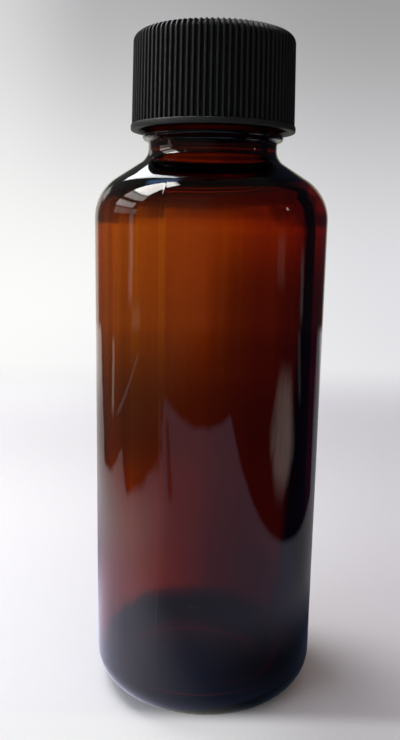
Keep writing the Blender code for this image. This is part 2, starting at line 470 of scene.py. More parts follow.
@dataclass(frozen=True)
class RibbedPlastic:
    """Satin black moulded plastic with paler rib crests: partly hand wear, partly painted highlight and
    groove shade.

    Scales are features per metre.
    """

    name: str = "black_plastic"
    refraction: float = 1.58
    groove_painted_shade_colour: Colour = (0.0028, 0.0034, 0.0036)
    crest_wear_and_highlight_colour: Colour = (0.0105, 0.012, 0.0105)
    crest_wear_and_highlight_depths: Span = (0.35, 0.02)
    crest_wear_and_highlight_share: float = 0.6
    crest_wear_and_highlight_cloud: float = 0.5
    dust_colour: Colour = (0.11, 0.105, 0.095)
    dust_speck: Span = (0.73, 0.8)
    dust_patch: Span = (0.5, 0.62)
    speck_scale: float = 2600.0
    cloud_scale: float = 220.0
    grain_scale: float = 5200.0
    roughness: Span = (0.42, 0.58)
    grain_roughness: float = 0.06
    grain: float = 0.012 * MM

    def material(self, crest_radius: float, draft: float, foot: float, depth: float) -> bpy.types.Material:
        """Makes the plastic for one cap.

        Args:
            crest_radius: the radius over the ribs at their foot.
            draft: the skirt's draft, as the radius lost per metre of height.
            foot: the height of the ribs' foot.
            depth: the depth of the grooves.

        Returns:
            The material.
        """
        material, shading = Shading.of_material(self.name)
        place = shading.place()
        x, y, z = shading.split(place)
        # paler crests over darker grooves: partly wear, partly a painted highlight on the crests and painted
        # shade in the grooves
        under_crest = crest_radius - (z - foot) * draft - off_axis(x, y)
        crest_wear_and_highlight = shading.rise(under_crest, *(depth * share for share in self.crest_wear_and_highlight_depths))
        cloudy = shading.noise(place, self.cloud_scale, 3, 0.55)
        crest_wear_and_highlight = crest_wear_and_highlight * (cloudy * self.crest_wear_and_highlight_cloud + self.crest_wear_and_highlight_share)
        colour = shading.mix(crest_wear_and_highlight, self.groove_painted_shade_colour, self.crest_wear_and_highlight_colour)
        speck = shading.noise(place, self.speck_scale, 2, 0.6)
        dust = shading.rise(speck, *self.dust_speck) * shading.rise(cloudy, *self.dust_patch)
        grain = shading.noise(place, self.grain_scale, 3, 0.6)
        smooth, rough = self.roughness
        shader = shading.add(
            "ShaderNodeBsdfPrincipled",
            None,
            {
                "Base Color": shading.mix(dust, colour, self.dust_colour),
                "Roughness": cloudy * (rough - smooth) + grain * self.grain_roughness + smooth,
                "IOR": self.refraction,
                "Normal": shading.bump(grain, self.grain),
            },
        )
        shading.finish_with(shader)
        return material


@dataclass(frozen=True)
class FoamLiner:
    """A pale closed-cell foam disc with a smooth film on its faces.

    Scales are features per metre.
    """

    name: str = "liner_foam"
    refraction: float = 1.49
    film_colour: Colour = (0.72, 0.71, 0.68)
    shaded_film: float = 0.93
    cell_colour: Colour = (0.60, 0.59, 0.56)
    cell_share: float = 0.1
    cell_contrast: float = 1.6
    cell_scale: float = 5200.0
    cloud_scale: float = 500.0
    roughness: Span = (0.38, 0.75)
    pressed_shade: float = 0.4
    pressed_polish: float = 0.1
    cloud_roughness: float = 0.08
    cloud_relief: float = 0.12
    cell: float = 0.05 * MM
    edge_fade: Span = (0.06 * MM, 0.02 * MM)
    press_fade: Span = (0.2 * MM, -0.1 * MM)
    press_heights: Span = (0.3 * MM, 0.2 * MM)

    def material(self, edge_radius: float, lip: Span, underside: float) -> bpy.types.Material:
        """Makes the foam for one liner.

        Args:
            edge_radius: the liner's radius.
            lip: the inner and outer radius of the ring where the glass presses.
            underside: the height of its lower face.

        Returns:
            The material.
        """
        material, shading = Shading.of_material(self.name)
        place = shading.place()
        x, y, z = shading.split(place)
        radius = off_axis(x, y)
        cut_edge = shading.rise(radius, *(edge_radius - fade for fade in self.edge_fade))
        sockets = {"Vector": place, "Scale": self.cell_scale}
        cells = shading.add("ShaderNodeTexVoronoi", {"feature": "F1"}, sockets, "Distance")
        pressed = shading.rise(radius, *(lip[0] - fade for fade in self.press_fade))
        pressed = pressed * shading.rise(radius, *(lip[1] + fade for fade in self.press_fade))
        pressed = pressed * shading.rise(z, *(underside + height for height in self.press_heights))
        cloudy = shading.noise(place, self.cloud_scale, 3)
        film = shading.mix(cloudy, self.film_colour, tuple(c * self.shaded_film for c in self.film_colour))
        film = shading.mix(pressed * self.pressed_shade, film, self.cell_colour)
        smooth, rough = self.roughness
        polished = smooth + cut_edge * (rough - smooth) - pressed * self.pressed_polish
        shown = cut_edge * (cells * self.cell_contrast + self.cell_share)
        shader = shading.add(
            "ShaderNodeBsdfPrincipled",
            None,
            {
                "Base Color": shading.mix(shown, film, self.cell_colour),
                "Roughness": polished + cloudy * self.cloud_roughness,
                "IOR": self.refraction,
                "Normal": shading.bump(cells * cut_edge + cloudy * self.cloud_relief, self.cell),
            },
        )
        shading.finish_with(shader)
        return material


# Turned skins


def arc(centre: Point, radius: float, start: float, end: float, count: int) -> list[Point]:
    """Points of a circle.

    Args:
        centre: its centre, as a radius and a height.
        radius: its radius.
        start: the first angle, in degrees from outwards towards up.
        end: the last angle.
        count: the number of points, both ends included.

    Returns:
        The points.
    """
    turns = np.radians(np.linspace(start, end, count))
    return [(centre[0] + radius * cos(t), centre[1] + radius * sin(t)) for t in turns]


def line(start: Point, end: Point, step: float) -> list[Point]:
    """Evenly spaced points of a straight line, its start left out.

    Args:
        start: where it starts.
        end: where it ends.
        step: about how far the points are apart.

    Returns:
        The points.
    """
    count = max(1, round(hypot(end[0] - start[0], end[1] - start[1]) / step))
    return [
        (start[0] + (end[0] - start[0]) * i / count, start[1] + (end[1] - start[1]) * i / count)
        for i in range(1, count + 1)
    ]


def eased(start: Point, corner: Point, end: Point, count: int) -> list[Point]:
    """Points of a soft bend, its start left out.

    Args:
        start: where it starts.
        corner: where it would turn if it were sharp.
        end: where it ends.
        count: the number of points.

    Returns:
        The points.
    """
    points = []
    for t in (i / count for i in range(1, count + 1)):
        weights = ((1 - t) ** 2, 2 * t * (1 - t), t**2)
        x, z = (sum(w * place[axis] for w, place in zip(weights, (start, corner, end))) for axis in (0, 1))
        points.append((x, z))
    return points


def dome(edge: Point, rise: float, count: int) -> list[Point]:
    """Points of a shallow arc from the axis down to its edge, the point on the axis left out.

    Args:
        edge: where it ends.
        rise: how far its middle stands over its edge.
        count: the number of points.

    Returns:
        The points.
    """
    radius = (edge[0] ** 2 + rise**2) / (2 * rise)
    widest = degrees(asin(edge[0] / radius))
    points = arc((0, edge[1] + rise - radius), radius, 90, 90 - widest, count + 1)
    return points[1:]


def share_of(value: float, start: float, end: float) -> float:
    """How far a value is on the way from start to end, from 0 to 1."""
    return min(1.0, max(0.0, (value - start) / (end - start)))


def turned(angles: np.ndarray, place: float) -> np.ndarray:
    """How far angles in radians lie from a place in degrees, in degrees between -180 and 180."""
    return np.degrees((angles - radians(place) + pi) % (2 * pi) - pi)


class TurnedSkin:
    """A closed surface grown ring by ring round +Z, from one pole to the other."""

    def __init__(self, pole: float) -> None:
        """Starts at a point of the axis.

        Args:
            pole: its height.
        """
        self.points: list[np.ndarray] = [np.array([[0.0, 0.0, pole]])]
        self.faces: list[tuple[int, ...]] = []
        self.total = 1
        self.last: list[int] | None = None

    def add(self, angles: np.ndarray, radii: np.ndarray | float, heights: np.ndarray | float) -> None:
        """Joins a ring to what is there.

        A ring may have a whole number of times fewer points than the one before it.

        Args:
            angles: the ring's angles, in radians.
            radii: the radius at each, or one for all.
            heights: the height at each, or one for all.
        """
        ring = list(range(self.total, self.total + len(angles)))
        levels = np.broadcast_to(heights, angles.shape)
        self.points.append(np.stack([radii * np.cos(angles), radii * np.sin(angles), levels], 1))
        self.total += len(angles)
        count = len(ring)
        if self.last is None:
            self.faces += [(0, ring[i - 1], ring[i]) for i in range(count)]
        elif len(self.last) == count:
            old = self.last
            self.faces += [(old[i - 1], old[i], ring[i], ring[i - 1]) for i in range(count)]
        else:
            share = len(self.last) // count
            for i in range(count):
                span = [self.last[(i * share + k) % len(self.last)] for k in range(share + 1)]
                self.faces.append((*span, ring[(i + 1) % count], ring[i]))
        self.last = ring

    def close(self, pole: float) -> None:
        """Ends at a point of the axis.

        Args:
            pole: its height.
        """
        self.points.append(np.array([[0.0, 0.0, pole]]))
        self.faces += [(self.last[i - 1], self.total, self.last[i]) for i in range(len(self.last))]
        self.total += 1

    def piece(self, name: str, material: bpy.types.Material, crease: float) -> bpy.types.Object:
        """Makes the object.

        Args:
            name: its name.
            material: its finish.
            crease: the angle in degrees past which an edge is shaded sharp.

        Returns:
            The object, linked to the scene.
        """
        mesh = bpy.data.meshes.new(name)
        mesh.from_pydata(np.concatenate(self.points).tolist(), [], self.faces)
        shape = bmesh.new()
        shape.from_mesh(mesh)
        bmesh.ops.recalc_face_normals(shape, faces=shape.faces)
        shape.to_mesh(mesh)
        shape.free()
        mesh.materials.append(material)
        mesh.shade_smooth()
        mesh.set_sharp_from_angle(angle=radians(crease))
        thing = bpy.data.objects.new(name, mesh)
        bpy.context.scene.collection.objects.link(thing)
        return thing


@dataclass
class Thread:
    """A right-hand thread ridge with a rounded crest on a round wall."""

    side: Side
    top: float
    turns: float
    half_width: float
    height: float = 1.05 * MM
    pitch: float = 25.4 / 6 * MM
    lead: float = 0.0
    run_out: float = 0.12
    flank: float = 2.2
    crest: float = 0.8

    def relief(self, angles: np.ndarray, height: float) -> np.ndarray:
        """How far the ridge stands off its wall.

        Args:
            angles: where round the wall, in radians.
            height: the height of the ring.

        Returns:
            Radial offsets, outwards positive.
        """
        found = np.zeros(len(angles))
        first = (-angles / (2 * pi) - self.lead) % 1.0
        for turn in range(int(self.turns) + 1):
            run = first + turn
            level = self.top - self.pitch * (run + self.lead)
            fade = np.clip(np.minimum(run, self.turns - run) / self.run_out, 0, 1)
            stand = self.height * np.sin(fade * pi / 2)
            across = np.abs(height - level) / (self.half_width * (0.5 + 0.5 * fade))
            found = np.maximum(found, stand * np.clip(1 - across**self.flank, 0, None) ** self.crest)
        return self.side.value * found


@dataclass(frozen=True)
class Wander:
    """The slow unevenness of a blown wall, as waves round it that drift with height.

    Each wave is a count of crests, a share, a phase in radians and a drift in radians per metre.
    """

    size: float
    waves: tuple[tuple[int, float, float, float], ...]

    def relief(self, angles: np.ndarray, height: float) -> np.ndarray:
        """The unevenness of one ring.

        Args:
            angles: where round the wall, in radians.
            height: the height of the ring.

        Returns:
            Offsets between minus and plus the size.
        """
        total = sum(share for _, share, _, _ in self.waves)
        found = np.zeros(len(angles))
        for count, share, phase, drift in self.waves:
            found += share * np.cos(count * angles + phase + drift * height)
        return self.size * found / total


# The object


@dataclass
class GlassBottle:
    """The moulded glass: body, shoulder, neck, bead, threaded finish, heel and pushed-up base.

    The inner leans are how much further the inside leans in over each lean step up the shoulder. A thin
    strip runs up the wall, as an angle, a half width in degrees and how much thinner the wall is there.
    The seam columns are how far off a seam the extra columns stand.
    """

    body_radius: float = 22.25 * MM
    side_height: float = 94.2 * MM
    shoulder_radius: float = 8.9 * MM
    shoulder_slope: float = 32.2
    neck_radius: float = 12.15 * MM
    neck_fillet: float = 3.2 * MM
    neck_length: float = 2.1 * MM
    heel_radius: float = 6.6 * MM
    standing_ring: float = 1.6 * MM
    ring_edge: Point = (0.8 * MM, 0.18 * MM)
    push_up: float = 1.8 * MM
    wall: float = 2.4 * MM
    bore_radius: float = 9.1 * MM
    gather_depth: float = 2.77 * MM
    inner_leans: tuple[float, ...] = (4.3, 11.4, 20.9, 24.4, 3.7, 4.5)
    lean_step: float = 2.2 * MM
    inner_step: float = 0.4 * MM
    inner_neck_fillet: float = 2.1 * MM
    neck_taper: float = 6.5
    taper_height: float = 17.35 * MM
    taper_step: float = 0.7 * MM
    inner_heel_radius: float = 5.6 * MM
    floor: float = 3.6 * MM
    floor_rise: float = 1.4 * MM
    bead_radius: float = 13.3 * MM
    bead_half_height: float = 0.7 * MM
    bead_turn: float = 62.0
    bead_blend: float = 0.75 * MM
    blend_pull: float = 0.1 * MM
    finish_radius: float = 12.4 * MM
    finish_height: float = 15.05 * MM
    lip_round: float = 0.9 * MM
    thread_to_lip: float = 2.0 * MM
    thread_turns: float = 1.5
    thread_half_width: float = 0.93 * MM
    thread_step: float = 0.17 * MM
    wall_step: float = 4 * MM
    bore_step: float = 2 * MM
    seam_angles: tuple[float, ...] = (-112.4, 67.6)
    seam_height: float = 0.02 * MM
    seam_half_width: float = 0.75
    seam_foot: float = 1 * MM
    seam_columns: tuple[float, ...] = (1.0, 1.6, 2.4)
    seam_margin: float = 1.2
    thick_side: float = -20.0
    wall_lean: float = 1.05 * MM
    thin_strips: tuple[Triple, ...] = (
        (-139.0, 3.4, 0.20 * MM),
        (-128.5, 3.8, 0.22 * MM),
        (-112.4, 3.2, 0.14 * MM),
        (-92.0, 5.0, 0.10 * MM),
        (40.0, 5.0, 0.2 * MM),
        (118.0, 6.0, 0.22 * MM),
        (165.0, 5.0, 0.2 * MM),
    )
    strip_heights: Span = (20 * MM, 70 * MM)
    least_strip: float = 0.25
    foot_gain: float = 1.0 * MM
    foot_heights: Span = (75 * MM, 15 * MM)
    inner_wander: Wander = Wander(
        0.25 * MM,
        ((2, 1.0, 0.7, 18), (3, 0.8, 2.4, -26), (5, 0.7, 4.0, 22), (9, 0.5, 1.1, -14), (14, 0.3, 5.0, 9)),
    )
    outer_wander: Wander = Wander(0.012 * MM, ((2, 1.0, 2.0, 12), (7, 0.5, 0.4, -30), (11, 0.4, 3.3, 22)))
    wander_ease: float = 6 * MM
    columns: int = 192
    crease: float = 60.0

    def __post_init__(self) -> None:
        """Works out the shoulders, the heights over them and the thread."""
        self.outer_shoulder = self._outer_shoulder()
        self.inner_shoulder = self._inner_shoulder()
        self.bead_height = self.outer_shoulder[0][1] + self.neck_length
        self.lip_height = self.bead_height + self.finish_height
        thread_top = self.lip_height - self.thread_to_lip
        self.thread = Thread(Side.OUTSIDE, thread_top, self.thread_turns, self.thread_half_width)

    def _outer_shoulder(self) -> list[Point]:
        """The shoulder's outline.

        Returns:
            The points, from the foot of the straight neck down to the top of the side.
        """
        slope = radians(self.shoulder_slope)
        corner, fillet = self.shoulder_radius, self.neck_fillet
        corner_x, fillet_x = self.body_radius - corner, self.neck_radius + fillet
        rise = (corner + fillet - (fillet_x - corner_x) * sin(slope)) / cos(slope)
        top = arc((fillet_x, self.side_height + rise), fillet, 180, 270 - self.shoulder_slope, 16)
        return top + arc((corner_x, self.side_height), corner, 90 - self.shoulder_slope, 0, 28)

    def _inner_shoulder(self) -> list[Point]:
        """The inside of shoulder and neck, which leans in sooner than the outside, so the glass thickens.

        Returns:
            The points, from the top of the neck's taper down to the top of the even wall.
        """
        radius, height = self.body_radius - self.wall, self.side_height - self.gather_depth
        knots = np.arange(len(self.inner_leans) + 1) * self.lean_step
        leans = np.concatenate([[0.0], np.cumsum(self.inner_leans)])
        fillet, taper = self.inner_neck_fillet, tan(radians(self.neck_taper))
        top = self.side_height + self.taper_height
        gone = 0.0
        points = [(radius, height)]
        while True:
            lean = float(np.interp(gone, knots, leans))
            turn = radians(lean)
            centre = (radius + fillet * cos(turn), height + fillet * sin(turn))
            room = (centre[0] - self.bore_radius - (top - centre[1]) * taper) * cos(radians(self.neck_taper))
            if gone >= knots[-1] and room <= fillet:
                break
            radius -= self.inner_step * sin(turn)
            height += self.inner_step * cos(turn)
            gone += self.inner_step
            points.append((radius, height))
        points += arc(centre, fillet, 180 + lean, 180 + self.neck_taper, 14)[1:]
        self.taper_foot = points[-1][1]
        points += line(points[-1], (self.bore_radius, top), self.taper_step)
        return points[::-1]

    def _rows(self) -> list[tuple[Point, Zone]]:
        """The whole outline with the zone of each point.

        Returns:
            The rows, from beside the middle of the inner floor to beside the middle of the base.
        """
        rows: list[tuple[Point, Zone]] = []

        def lay(points: list[Point], zone: Zone) -> None:
            """Adds points to the outline."""
            rows.extend((point, zone) for point in points)

        inner = self.body_radius - self.wall
        heel = (inner - self.inner_heel_radius, self.floor + self.inner_heel_radius)
        lay(dome((heel[0], self.floor), self.floor_rise, 10), Zone.INNER_WALL)
        lay(arc(heel, self.inner_heel_radius, -90, 0, 14)[1:], Zone.INNER_WALL)
        side_top = self.inner_shoulder[-1][1]
        lay(line((inner, heel[1]), (inner, side_top), self.wall_step)[:-1], Zone.INNER_WALL)
        lay(self.inner_shoulder[::-1], Zone.INNER_WALL)
        bore_top = self.lip_height - self.lip_round
        lay(line(self.inner_shoulder[0], (self.bore_radius, bore_top), self.bore_step)[:-1], Zone.BORE)

        lay(arc((self.bore_radius + self.lip_round, bore_top), self.lip_round, 180, 90, 8), Zone.BORE)
        lay(arc((self.finish_radius - self.lip_round, bore_top), self.lip_round, 90, 0, 8), Zone.BORE)
        bead_reach = self.bead_blend + self.bead_half_height
        finish_foot = (self.finish_radius, self.bead_height + bead_reach)
        lay(line((self.finish_radius, bore_top), finish_foot, self.thread_step), Zone.FINISH)

        nose = (self.bead_radius - self.bead_half_height, self.bead_height)
        round_nose = arc(nose, self.bead_half_height, self.bead_turn, -self.bead_turn, 14)
        over = (self.finish_radius, round_nose[0][1] + self.blend_pull)
        under = (self.neck_radius, round_nose[-1][1] - self.blend_pull)
        neck_top = (self.neck_radius, self.bead_height - bead_reach)
        lay(eased(finish_foot, over, round_nose[0], 6)[:-1], Zone.OUTER_WALL)
        lay(round_nose, Zone.OUTER_WALL)
        lay(eased(round_nose[-1], under, neck_top, 6), Zone.OUTER_WALL)

        lay(self.outer_shoulder, Zone.OUTER_WALL)
        side_foot = (self.body_radius, self.heel_radius)
        lay(line((self.body_radius, self.side_height), side_foot, self.wall_step), Zone.OUTER_WALL)
        ring = self.body_radius - self.heel_radius
        lay(arc((ring, self.heel_radius), self.heel_radius, 0, -90, 18)[1:], Zone.OUTER_WALL)
        ring -= self.standing_ring
        lay([(ring, 0.0)], Zone.BASE)
        inward, up = self.ring_edge
        bowl_edge = (ring - inward, up)
        lay(eased((ring, 0), (ring - inward / 2, 0), bowl_edge, 3), Zone.BASE)
        lay(dome(bowl_edge, self.push_up - up, 10)[-2::-1], Zone.BASE)
        return rows

    def _angles(self) -> np.ndarray:
        """The angles of the columns.

        Returns:
            Rising angles in radians, evenly spaced but for a few close ones at each mould seam.
        """
        even = np.arange(self.columns) * 2 * pi / self.columns - pi
        ridge = np.linspace(-1, 1, 9) * self.seam_half_width
        close = np.array([*(-side for side in reversed(self.seam_columns)), *ridge, *self.seam_columns])
        margin = close[-1] * self.seam_margin
        clear = [np.abs(turned(even, seam)) > margin for seam in self.seam_angles]
        kept = even[np.all(clear, axis=0)]
        return np.sort(np.concatenate([kept, *(np.radians(seam + close) for seam in self.seam_angles)]))

    def _uneven(self, angles: np.ndarray, height: float) -> np.ndarray:
        """How far the inside stands off its mean radius: thick on one side and towards the foot.

        Args:
            angles: where round the wall, in radians.
            height: the height of the ring.

        Returns:
            Radial offsets, outwards positive.
        """
        low = share_of(height, *self.foot_heights)
        settled = self.foot_gain * low * low * (3 - 2 * low)
        lean = self.wall_lean * np.cos(angles - radians(self.thick_side))
        high = max(self.least_strip, share_of(height, *self.strip_heights))
        drawn = np.zeros(len(angles))
        for place, half_width, gain in self.thin_strips:
            drawn += high * gain * np.exp(-((turned(angles, place) / half_width) ** 2))
        return self.inner_wander.relief(angles, height) + drawn - lean - settled

    def _seam(self, angles: np.ndarray) -> np.ndarray:
        """The ridges that the two halves of the mould leave.

        Args:
            angles: where round the wall, in radians.

        Returns:
            A share of the ridge's height for each angle.
        """
        found = np.zeros(len(angles))
        for seam in self.seam_angles:
            off = np.clip(turned(angles, seam) / self.seam_half_width, -1, 1)
            found += 0.5 + 0.5 * np.cos(pi * off)
        return found

    def build(self, finish: AmberGlass) -> bpy.types.Object:
        """Makes the bottle.

        Args:
            finish: the glass.

        Returns:
            The object.
        """
        angles = self._angles()
        seam = self.seam_height * self._seam(angles)
        ease = self.wander_ease
        skin = TurnedSkin(self.floor + self.floor_rise)
        for (radius, height), zone in self._rows():
            offset = np.zeros(len(angles))
            if zone is Zone.INNER_WALL:
                hold = share_of(radius, 0, ease) * share_of(height, self.taper_foot, self.taper_foot - ease)
                offset = hold * self._uneven(angles, height)
            elif zone is Zone.FINISH:
                offset = self.thread.relief(angles, height)
            elif zone is Zone.OUTER_WALL:
                hold = share_of(height, self.bead_height, self.bead_height - ease)
                hold *= share_of(height, 0, self.heel_radius)
                offset = hold * (self.outer_wander.relief(angles, height) - self.outer_wander.size)
                offset += seam * share_of(height, self.seam_foot, self.seam_foot + ease)
            skin.add(angles, radius + offset, height)
        skin.close(self.push_up)
        return skin.piece("amber_bottle", finish.material(), self.crease)

    def dress(self, bottle: bpy.types.Object) -> bpy.types.Object:
        """Puts the bottle on its body, in place of the solid.

        Args:
            bottle: the object.

        Returns:
            The same object.
        """
        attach(bottle, Body.BOTTLE.value)
        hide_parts("glass_bottle")
        return bottle


@dataclass
class ScrewCap:
    """The ribbed cap: drafted ribs that run over the corner, plain flange, thread and liner stop inside.

    Heights are counted from the rim, but for the two that say where the rim and the thread sit on the
    bottle. Half a rib is places from its middle, in shares of the pitch, each with a share of the depth.
    The gate dimple is shares of its radius, each with a share of its depth. The inner share is how many
    columns outside go to each one inside.
    """

    rim_height: float
    cavity_radius: float = 13.75 * MM
    ceiling: float = 15.65 * MM
    height: float = 17.15 * MM
    rib_radius: float = 15.3 * MM
    rib_depth: float = 0.55 * MM
    rib_count: int = 90
    flange_radius: float = 15.5 * MM
    flange_height: float = 1.1 * MM
    flange_edge: float = 0.25 * MM
    flange_step: float = 0.02 * MM
    draft: float = 1.2
    corner: float = 1.6 * MM
    fade: float = 0.6 * MM
    fade_shares: tuple[float, ...] = (0.0, 0.35, 0.7)
    fade_power: float = 1.5
    mouth_chamfer: float = 0.5 * MM
    mouth_foot: Point = (0.1 * MM, 0.02 * MM)
    mouth_inset: float = 0.05 * MM
    mouth_step: float = 0.2 * MM
    stop_top: float = 14.05 * MM
    stop_reach: float = 0.45 * MM
    stop_nose: float = 0.15 * MM
    stop_flank: Point = (0.1 * MM, 0.25 * MM)
    ceiling_corner: float = 0.25 * MM
    ceiling_middle: float = 2 * MM
    ceiling_step: float = 4 * MM
    wall_step: float = 0.4 * MM
    thread_top_on_bottle: float = 120.6985 * MM
    thread_turns: float = 1.3
    thread_half_width: float = 0.73 * MM
    thread_lead: float = -0.2
    thread_step: float = 0.22 * MM
    gate_radius: float = 2.1 * MM
    gate_depth: float = 0.14 * MM
    gate_dimple: tuple[Point, ...] = (
        (0.35, 0.4),
        (0.5, 0.4),
        (0.62, 0.95),
        (0.9, 1.0),
        (1.0, 0.9),
        (1.1, 0.2),
        (1.2, 0.0),
    )
    half_rib: tuple[Point, ...] = (
        (0.06, 0.0),
        (0.155, 0.03),
        (0.20, 0.18),
        (0.27, 0.6),
        (0.345, 0.93),
        (0.41, 1.0),
    )
    inner_share: int = 6
    crease: float = 50.0

    def __post_init__(self) -> None:
        """Works out the line of a rib, the corner and the thread."""
        self.rib_line = [(-place, depth) for place, depth in reversed(self.half_rib)] + [*self.half_rib]
        self.first_angle = self.rib_line[0][0] * 2 * pi / self.rib_count
        lean = radians(self.draft)
        self.corner_height = self.height - self.corner
        edge_height = self.corner_height + self.corner * sin(lean)
        edge = self.rib_radius - (edge_height - self.flange_height) * tan(lean)
        self.corner_radius = edge - self.corner * cos(lean)
        thread_top = self.thread_top_on_bottle - self.rim_height
        self.thread = Thread(
            Side.INSIDE, thread_top, self.thread_turns, self.thread_half_width, lead=self.thread_lead
        )

    def _skirt(self) -> list[tuple[Point, Point]]:
        """The outline of the ribs.

        Returns:
            A crest and a groove floor for each level, from the plain top down to the ribs' foot.
        """
        inner = self.corner_radius - self.fade
        levels = []
        for share in self.fade_shares:
            x = inner + self.fade * share
            sunk = self.rib_depth * share**self.fade_power
            levels.append(((x, self.height), (x, self.height - sunk)))
        centre = (self.corner_radius, self.corner_height)
        crest = arc(centre, self.corner, 90, self.draft, 11)
        root = arc(centre, self.corner - self.rib_depth, 90, self.draft, 11)
        levels += list(zip(crest, root))
        lean = tan(radians(self.draft))
        for height in np.linspace(crest[-1][1], self.flange_height, 9)[1:]:
            drop = (crest[-1][1] - height) * lean
            levels.append(((crest[-1][0] + drop, height), (root[-1][0] + drop, height)))
        return levels

    def _outside(self, skin: TurnedSkin) -> None:
        """Grows the top, the ribs and the flange.

        Args:
            skin: the skin that they join.
        """
        pitch = 2 * pi / self.rib_count
        across = np.tile([place for place, _ in self.rib_line], self.rib_count)
        depth = np.tile([share for _, share in self.rib_line], self.rib_count)
        angles = (np.repeat(np.arange(self.rib_count), len(self.rib_line)) + across) * pitch
        # The last full ring has even angles, as the inside has.
        even = (np.arange(len(angles)) - 0.5) * 2 * pi / len(angles) + angles[0]

        for share, sunk in self.gate_dimple:
            skin.add(angles, self.gate_radius * share, self.height - self.gate_depth * sunk)
        skin.add(angles, (self.corner_radius - self.fade + self.gate_radius) / 2, self.height)
        for crest, root in self._skirt():
            radii, heights = (crest[axis] + (root[axis] - crest[axis]) * depth for axis in (0, 1))
            skin.add(angles, radii, heights)
        skin.add(angles, self.rib_radius + self.flange_step, self.flange_height)
        edge = self.flange_radius - self.flange_edge
        rounded = arc((edge, self.flange_height - self.flange_edge), self.flange_edge, 90, 0, 5)
        rounded += arc((edge, self.flange_edge), self.flange_edge, 0, -90, 5)
        for x, z in rounded:
            skin.add(angles, x, z)
        skin.add(even, self.cavity_radius + self.mouth_chamfer + self.mouth_foot[0], 0)

    def _inside(self, skin: TurnedSkin) -> None:
        """Grows the mouth, the cavity with its thread, the liner stop and the ceiling.

        Args:
            skin: the skin that they join.
        """
        count = self.rib_count * len(self.rib_line) // self.inner_share
        angles = np.arange(count) * 2 * pi / count + self.first_angle
        radius, reach = self.cavity_radius, self.stop_reach
        corner, stop_foot = self.ceiling_corner, self.stop_top - 2 * reach
        rows: list[Point] = [(radius + self.mouth_chamfer, self.mouth_foot[1])]
        rows += line(rows[0], (radius + self.mouth_inset, self.mouth_chamfer), self.mouth_step)
        rows += line((radius, self.mouth_chamfer), (radius, stop_foot), self.thread_step)
        nose = (radius - reach + self.stop_nose, self.stop_top - reach)
        back, side = self.stop_flank
        rows.append((nose[0] + back, nose[1] - side))
        rows += arc(nose, self.stop_nose, -135, -225, 5)
        rows += [(nose[0] + back, nose[1] + side), (radius, self.stop_top)]
        rows += line((radius, self.stop_top), (radius, self.ceiling - corner), self.wall_step)
        rows += arc((radius - corner, self.ceiling - corner), corner, 0, 90, 5)[1:]
        middle = (self.ceiling_middle, self.ceiling)
        rows += line((radius - corner, self.ceiling), middle, self.ceiling_step)
        for x, z in rows:
            offset = np.zeros(count)
            if self.mouth_chamfer < z < stop_foot:
                offset = self.thread.relief(angles, z)
            skin.add(angles, x + offset, z)

    def build(self, finish: RibbedPlastic) -> bpy.types.Object:
        """Makes the cap with its rim's middle at the object's origin.

        Args:
            finish: the plastic.

        Returns:
            The object, in place on the bottle.
        """
        skin = TurnedSkin(self.height - self.gate_depth * self.gate_dimple[0][1])
        self._outside(skin)
        self._inside(skin)
        skin.close(self.ceiling)
        material = finish.material(
            self.rib_radius, tan(radians(self.draft)), self.flange_height, self.rib_depth
        )
        cap = skin.piece("ribbed_cap", material, self.crease)
        cap.location.z = self.rim_height
        return cap

    def dress(self, cap: bpy.types.Object) -> bpy.types.Object:
        """Puts the cap on its body, in place of the solid.

        Args:
            cap: the object.

        Returns:
            The same object.
        """
        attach(cap, Body.CAP.value)
        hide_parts("screw_cap")
        return cap


@dataclass
class CapLiner:
    """The foam disc in the cap, with the ring that the lip of the glass has pressed into its underside.

    The press shares are places across that ring, counted from its middle, in shares of its half width.
    """

    base_height: float
    lip: Span
    radius: float = 13.45 * MM
    thickness: float = 1.0 * MM
    edge: float = 0.12 * MM
    pressed: float = 0.09 * MM
    press_shares: tuple[float, ...] = (1.12, 1.04, 0.97, 0.86, 0.6, 0.2)
    press_ease: Span = (1.08, 0.88)
    middle_radius: float = 1 * MM
    face_steps: Span = (3 * MM, 2.5 * MM)
    edge_step: float = 0.2 * MM
    columns: int = 180
    crease: float = 60.0

    def build(self, finish: FoamLiner) -> bpy.types.Object:
        """Makes the liner.

        Args:
            finish: the foam.

        Returns:
            The object, in place over the lip.
        """
        inner, outer = self.lip
        middle = (inner + outer) / 2
        half = (outer - inner) / 2
        upper_step, lower_step = self.face_steps
        rows = line((0, self.thickness), (self.radius - self.edge, self.thickness), upper_step)
        rows += arc((self.radius - self.edge, self.thickness - self.edge), self.edge, 90, 0, 5)[1:]
        rows += line((self.radius, self.thickness - self.edge), (self.radius, self.edge), self.edge_step)
        rows += arc((self.radius - self.edge, self.edge), self.edge, 0, -90, 5)[1:]
        for share in (*self.press_shares, *(-share for share in reversed(self.press_shares))):
            rows.append((middle + half * share, self.pressed * share_of(abs(share), *self.press_ease)))
        pressed_end = (middle - half * self.press_shares[0], 0)
        rows += line(pressed_end, (self.middle_radius, 0), lower_step)
        angles = np.arange(self.columns) * 2 * pi / self.columns
        skin = TurnedSkin(self.thickness)
        for x, z in rows:
            skin.add(angles, x, z)
        skin.close(0)
        liner = skin.piece("foam_liner", finish.material(self.radius, self.lip, 0), self.crease)
        liner.location.z = self.base_height
        return liner

    def dress(self, liner: bpy.types.Object) -> bpy.types.Object:
        """Puts the liner on its body, in place of the solid.

        Args:
            liner: the object.

        Returns:
            The same object.
        """
        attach(liner, Body.LINER.value)
        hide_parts("cap_liner")
        return liner


# The studio


